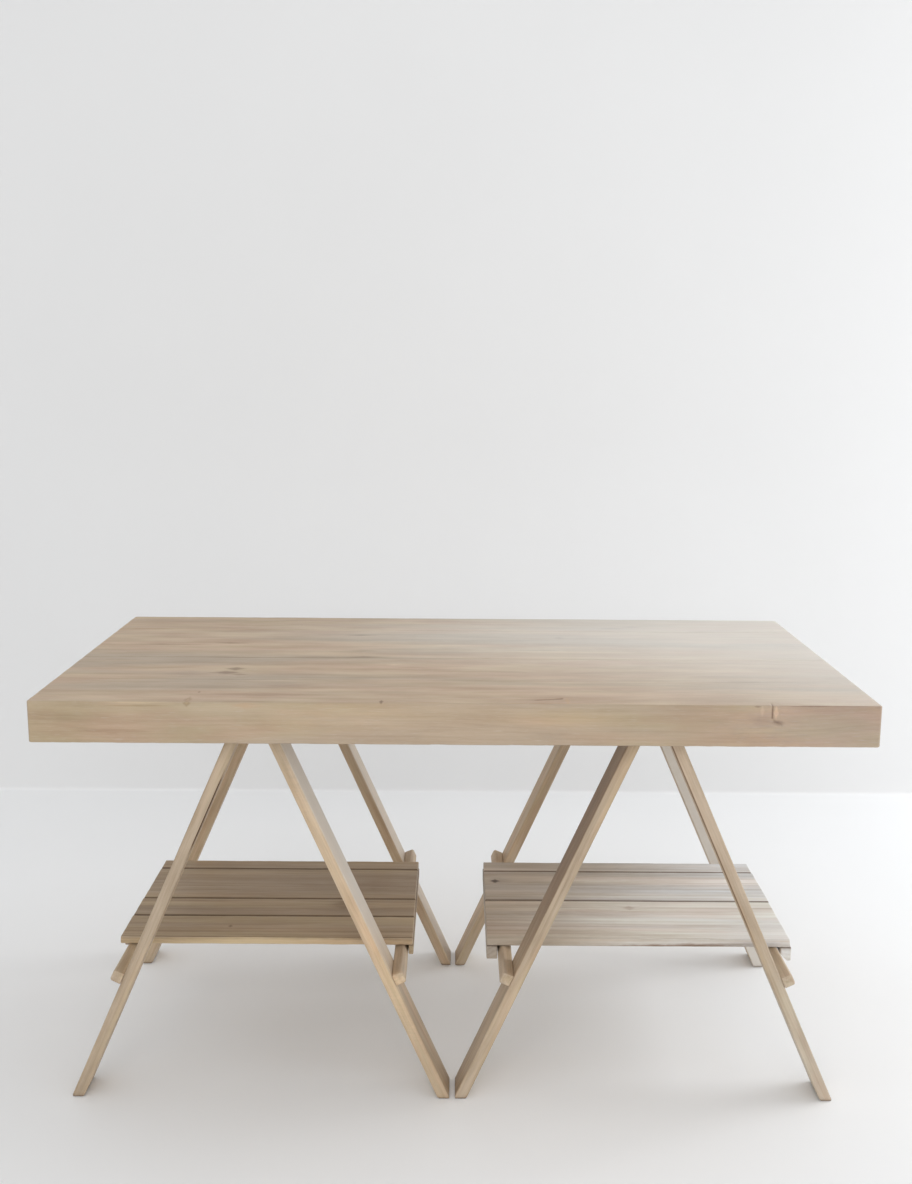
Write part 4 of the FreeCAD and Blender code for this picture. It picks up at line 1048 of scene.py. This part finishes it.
def makeRoom():
    # profile of floor, quarter round and wall, carried along X
    turn = np.linspace(0.0, np.pi / 2.0, room["steps"])
    wall, corner = room["wall"], room["corner"]
    bend = wall - corner
    y = np.concatenate([[room["near"], bend - room["bendStart"]], bend + corner * np.sin(turn), [wall, wall]])
    z = np.concatenate([[0.0, 0.0], corner * (1.0 - np.cos(turn)), [room["bendEnd"], room["high"]]])
    x = np.array([-room["side"], room["side"]])
    points = np.stack(np.broadcast_arrays(x[:, None], y[None, :], z[None, :]), axis=-1)
    key = np.arange(2 * y.size).reshape(2, y.size)
    mesh = bpy.data.meshes.new("room")
    mesh.from_pydata(points.reshape(-1, 3).tolist(), [], gridFaces(key).tolist())
    mesh.shade_smooth()
    material, tree, shader, spot = newMaterial("paleRoom")
    height = place(tree, "SeparateXYZ", {"Vector": spot}).outputs["Z"]
    onWall = ramp(tree, height, 0.0, room["wallFoot"])
    colour = blendColour(tree, onWall, room["floorColour"], room["wallColour"])
    tone = ramp(tree, streaks(tree, spot, *room["cloud"]), *room["cloudSpan"], *room["cloudTone"])
    tones = place(tree, "CombineColor", dict.fromkeys(("Red", "Green", "Blue"), tone)).outputs["Color"]
    feed(tree, shader.inputs["Base Color"], blendColour(tree, 1.0, colour, tones, "MULTIPLY"))
    shader.inputs["Roughness"].default_value = room["rough"]
    shader.inputs["Specular IOR Level"].default_value = room["gloss"]
    behind = place(tree, "NewGeometry").outputs["Backfacing"]
    mixed = place(tree, "MixShader")
    clear = place(tree, "BsdfTransparent").outputs["BSDF"]
    for socket, value in zip(mixed.inputs, (behind, shader.outputs["BSDF"], clear)):
        feed(tree, socket, value)
    feed(tree, tree.nodes["Material Output"].inputs["Surface"], mixed.outputs["Shader"])
    mesh.materials.append(material)
    sheet = newObject("room", mesh)


makeRoom()


# Soft light: a large window to the right, a weaker one in front, and an even sky

lamps = {
    "rightWindow": {
        "at": (3.4, 0.8, 1.7), "aim": (0.0, 0.0, 0.6), "size": (2.4, 2.4), "power": 68.5,
        "colour": (0.96, 0.98, 1.0),
    },
    "frontFill": {
        "at": (-0.3, -3.6, 2.3), "aim": (0.0, 0.0, 0.5), "size": (3.0, 2.0), "power": 31.0,
        "colour": (1.0, 0.995, 0.985),
    },
}
sky = {"colour": (0.99, 0.995, 1.0), "strength": 0.73}


def makeLights():
    for name, values in lamps.items():
        light = bpy.data.lights.new(name, "AREA")
        light.shape = "RECTANGLE"
        light.size, light.size_y = values["size"]
        light.energy = values["power"]
        light.color = values["colour"]
        lamp = newObject(name, light)
        lamp.location = values["at"]
        lamp.rotation_mode = "QUATERNION"
        lamp.rotation_quaternion = (Vector(values["aim"]) - Vector(values["at"])).to_track_quat("-Z", "Y")
    world = bpy.data.worlds.new("evenSky")
    world.use_nodes = True
    backdrop = world.node_tree.nodes["Background"]
    backdrop.inputs["Color"].default_value = (*sky["colour"], 1.0)
    backdrop.inputs["Strength"].default_value = sky["strength"]
    bpy.context.scene.world = world


makeLights()


# Camera where the photograph was taken

camera = {
    "eye": (0.00056, -2.3085, 1.2875), "down": 10.22, "turn": 0.02, "roll": 0.37,  # metres and degrees
    "lens": 37.70, "sensor": 36.0,
}


def makeCamera():
    down, turn, roll = (math.radians(camera[key]) for key in ("down", "turn", "roll"))
    ahead = Vector((math.sin(turn) * math.cos(down), math.cos(turn) * math.cos(down), -math.sin(down)))
    level = ahead.cross(Vector((0.0, 0.0, 1.0))).normalized()
    upright = level.cross(ahead)
    right = level * math.cos(roll) + upright * math.sin(roll)
    up = upright * math.cos(roll) - level * math.sin(roll)
    data = bpy.data.cameras.new("photoCamera")
    data.lens = camera["lens"]
    data.sensor_width = camera["sensor"]
    seat = newObject("photoCamera", data)
    pose = Matrix((right, up, -ahead)).transposed().to_4x4()
    pose.translation = camera["eye"]
    seat.matrix_world = pose
    bpy.context.scene.camera = seat


makeCamera()
bpy.context.scene.view_settings.view_transform = "Standard"
print("room, light and camera")

bpy.context.view_layer.update()
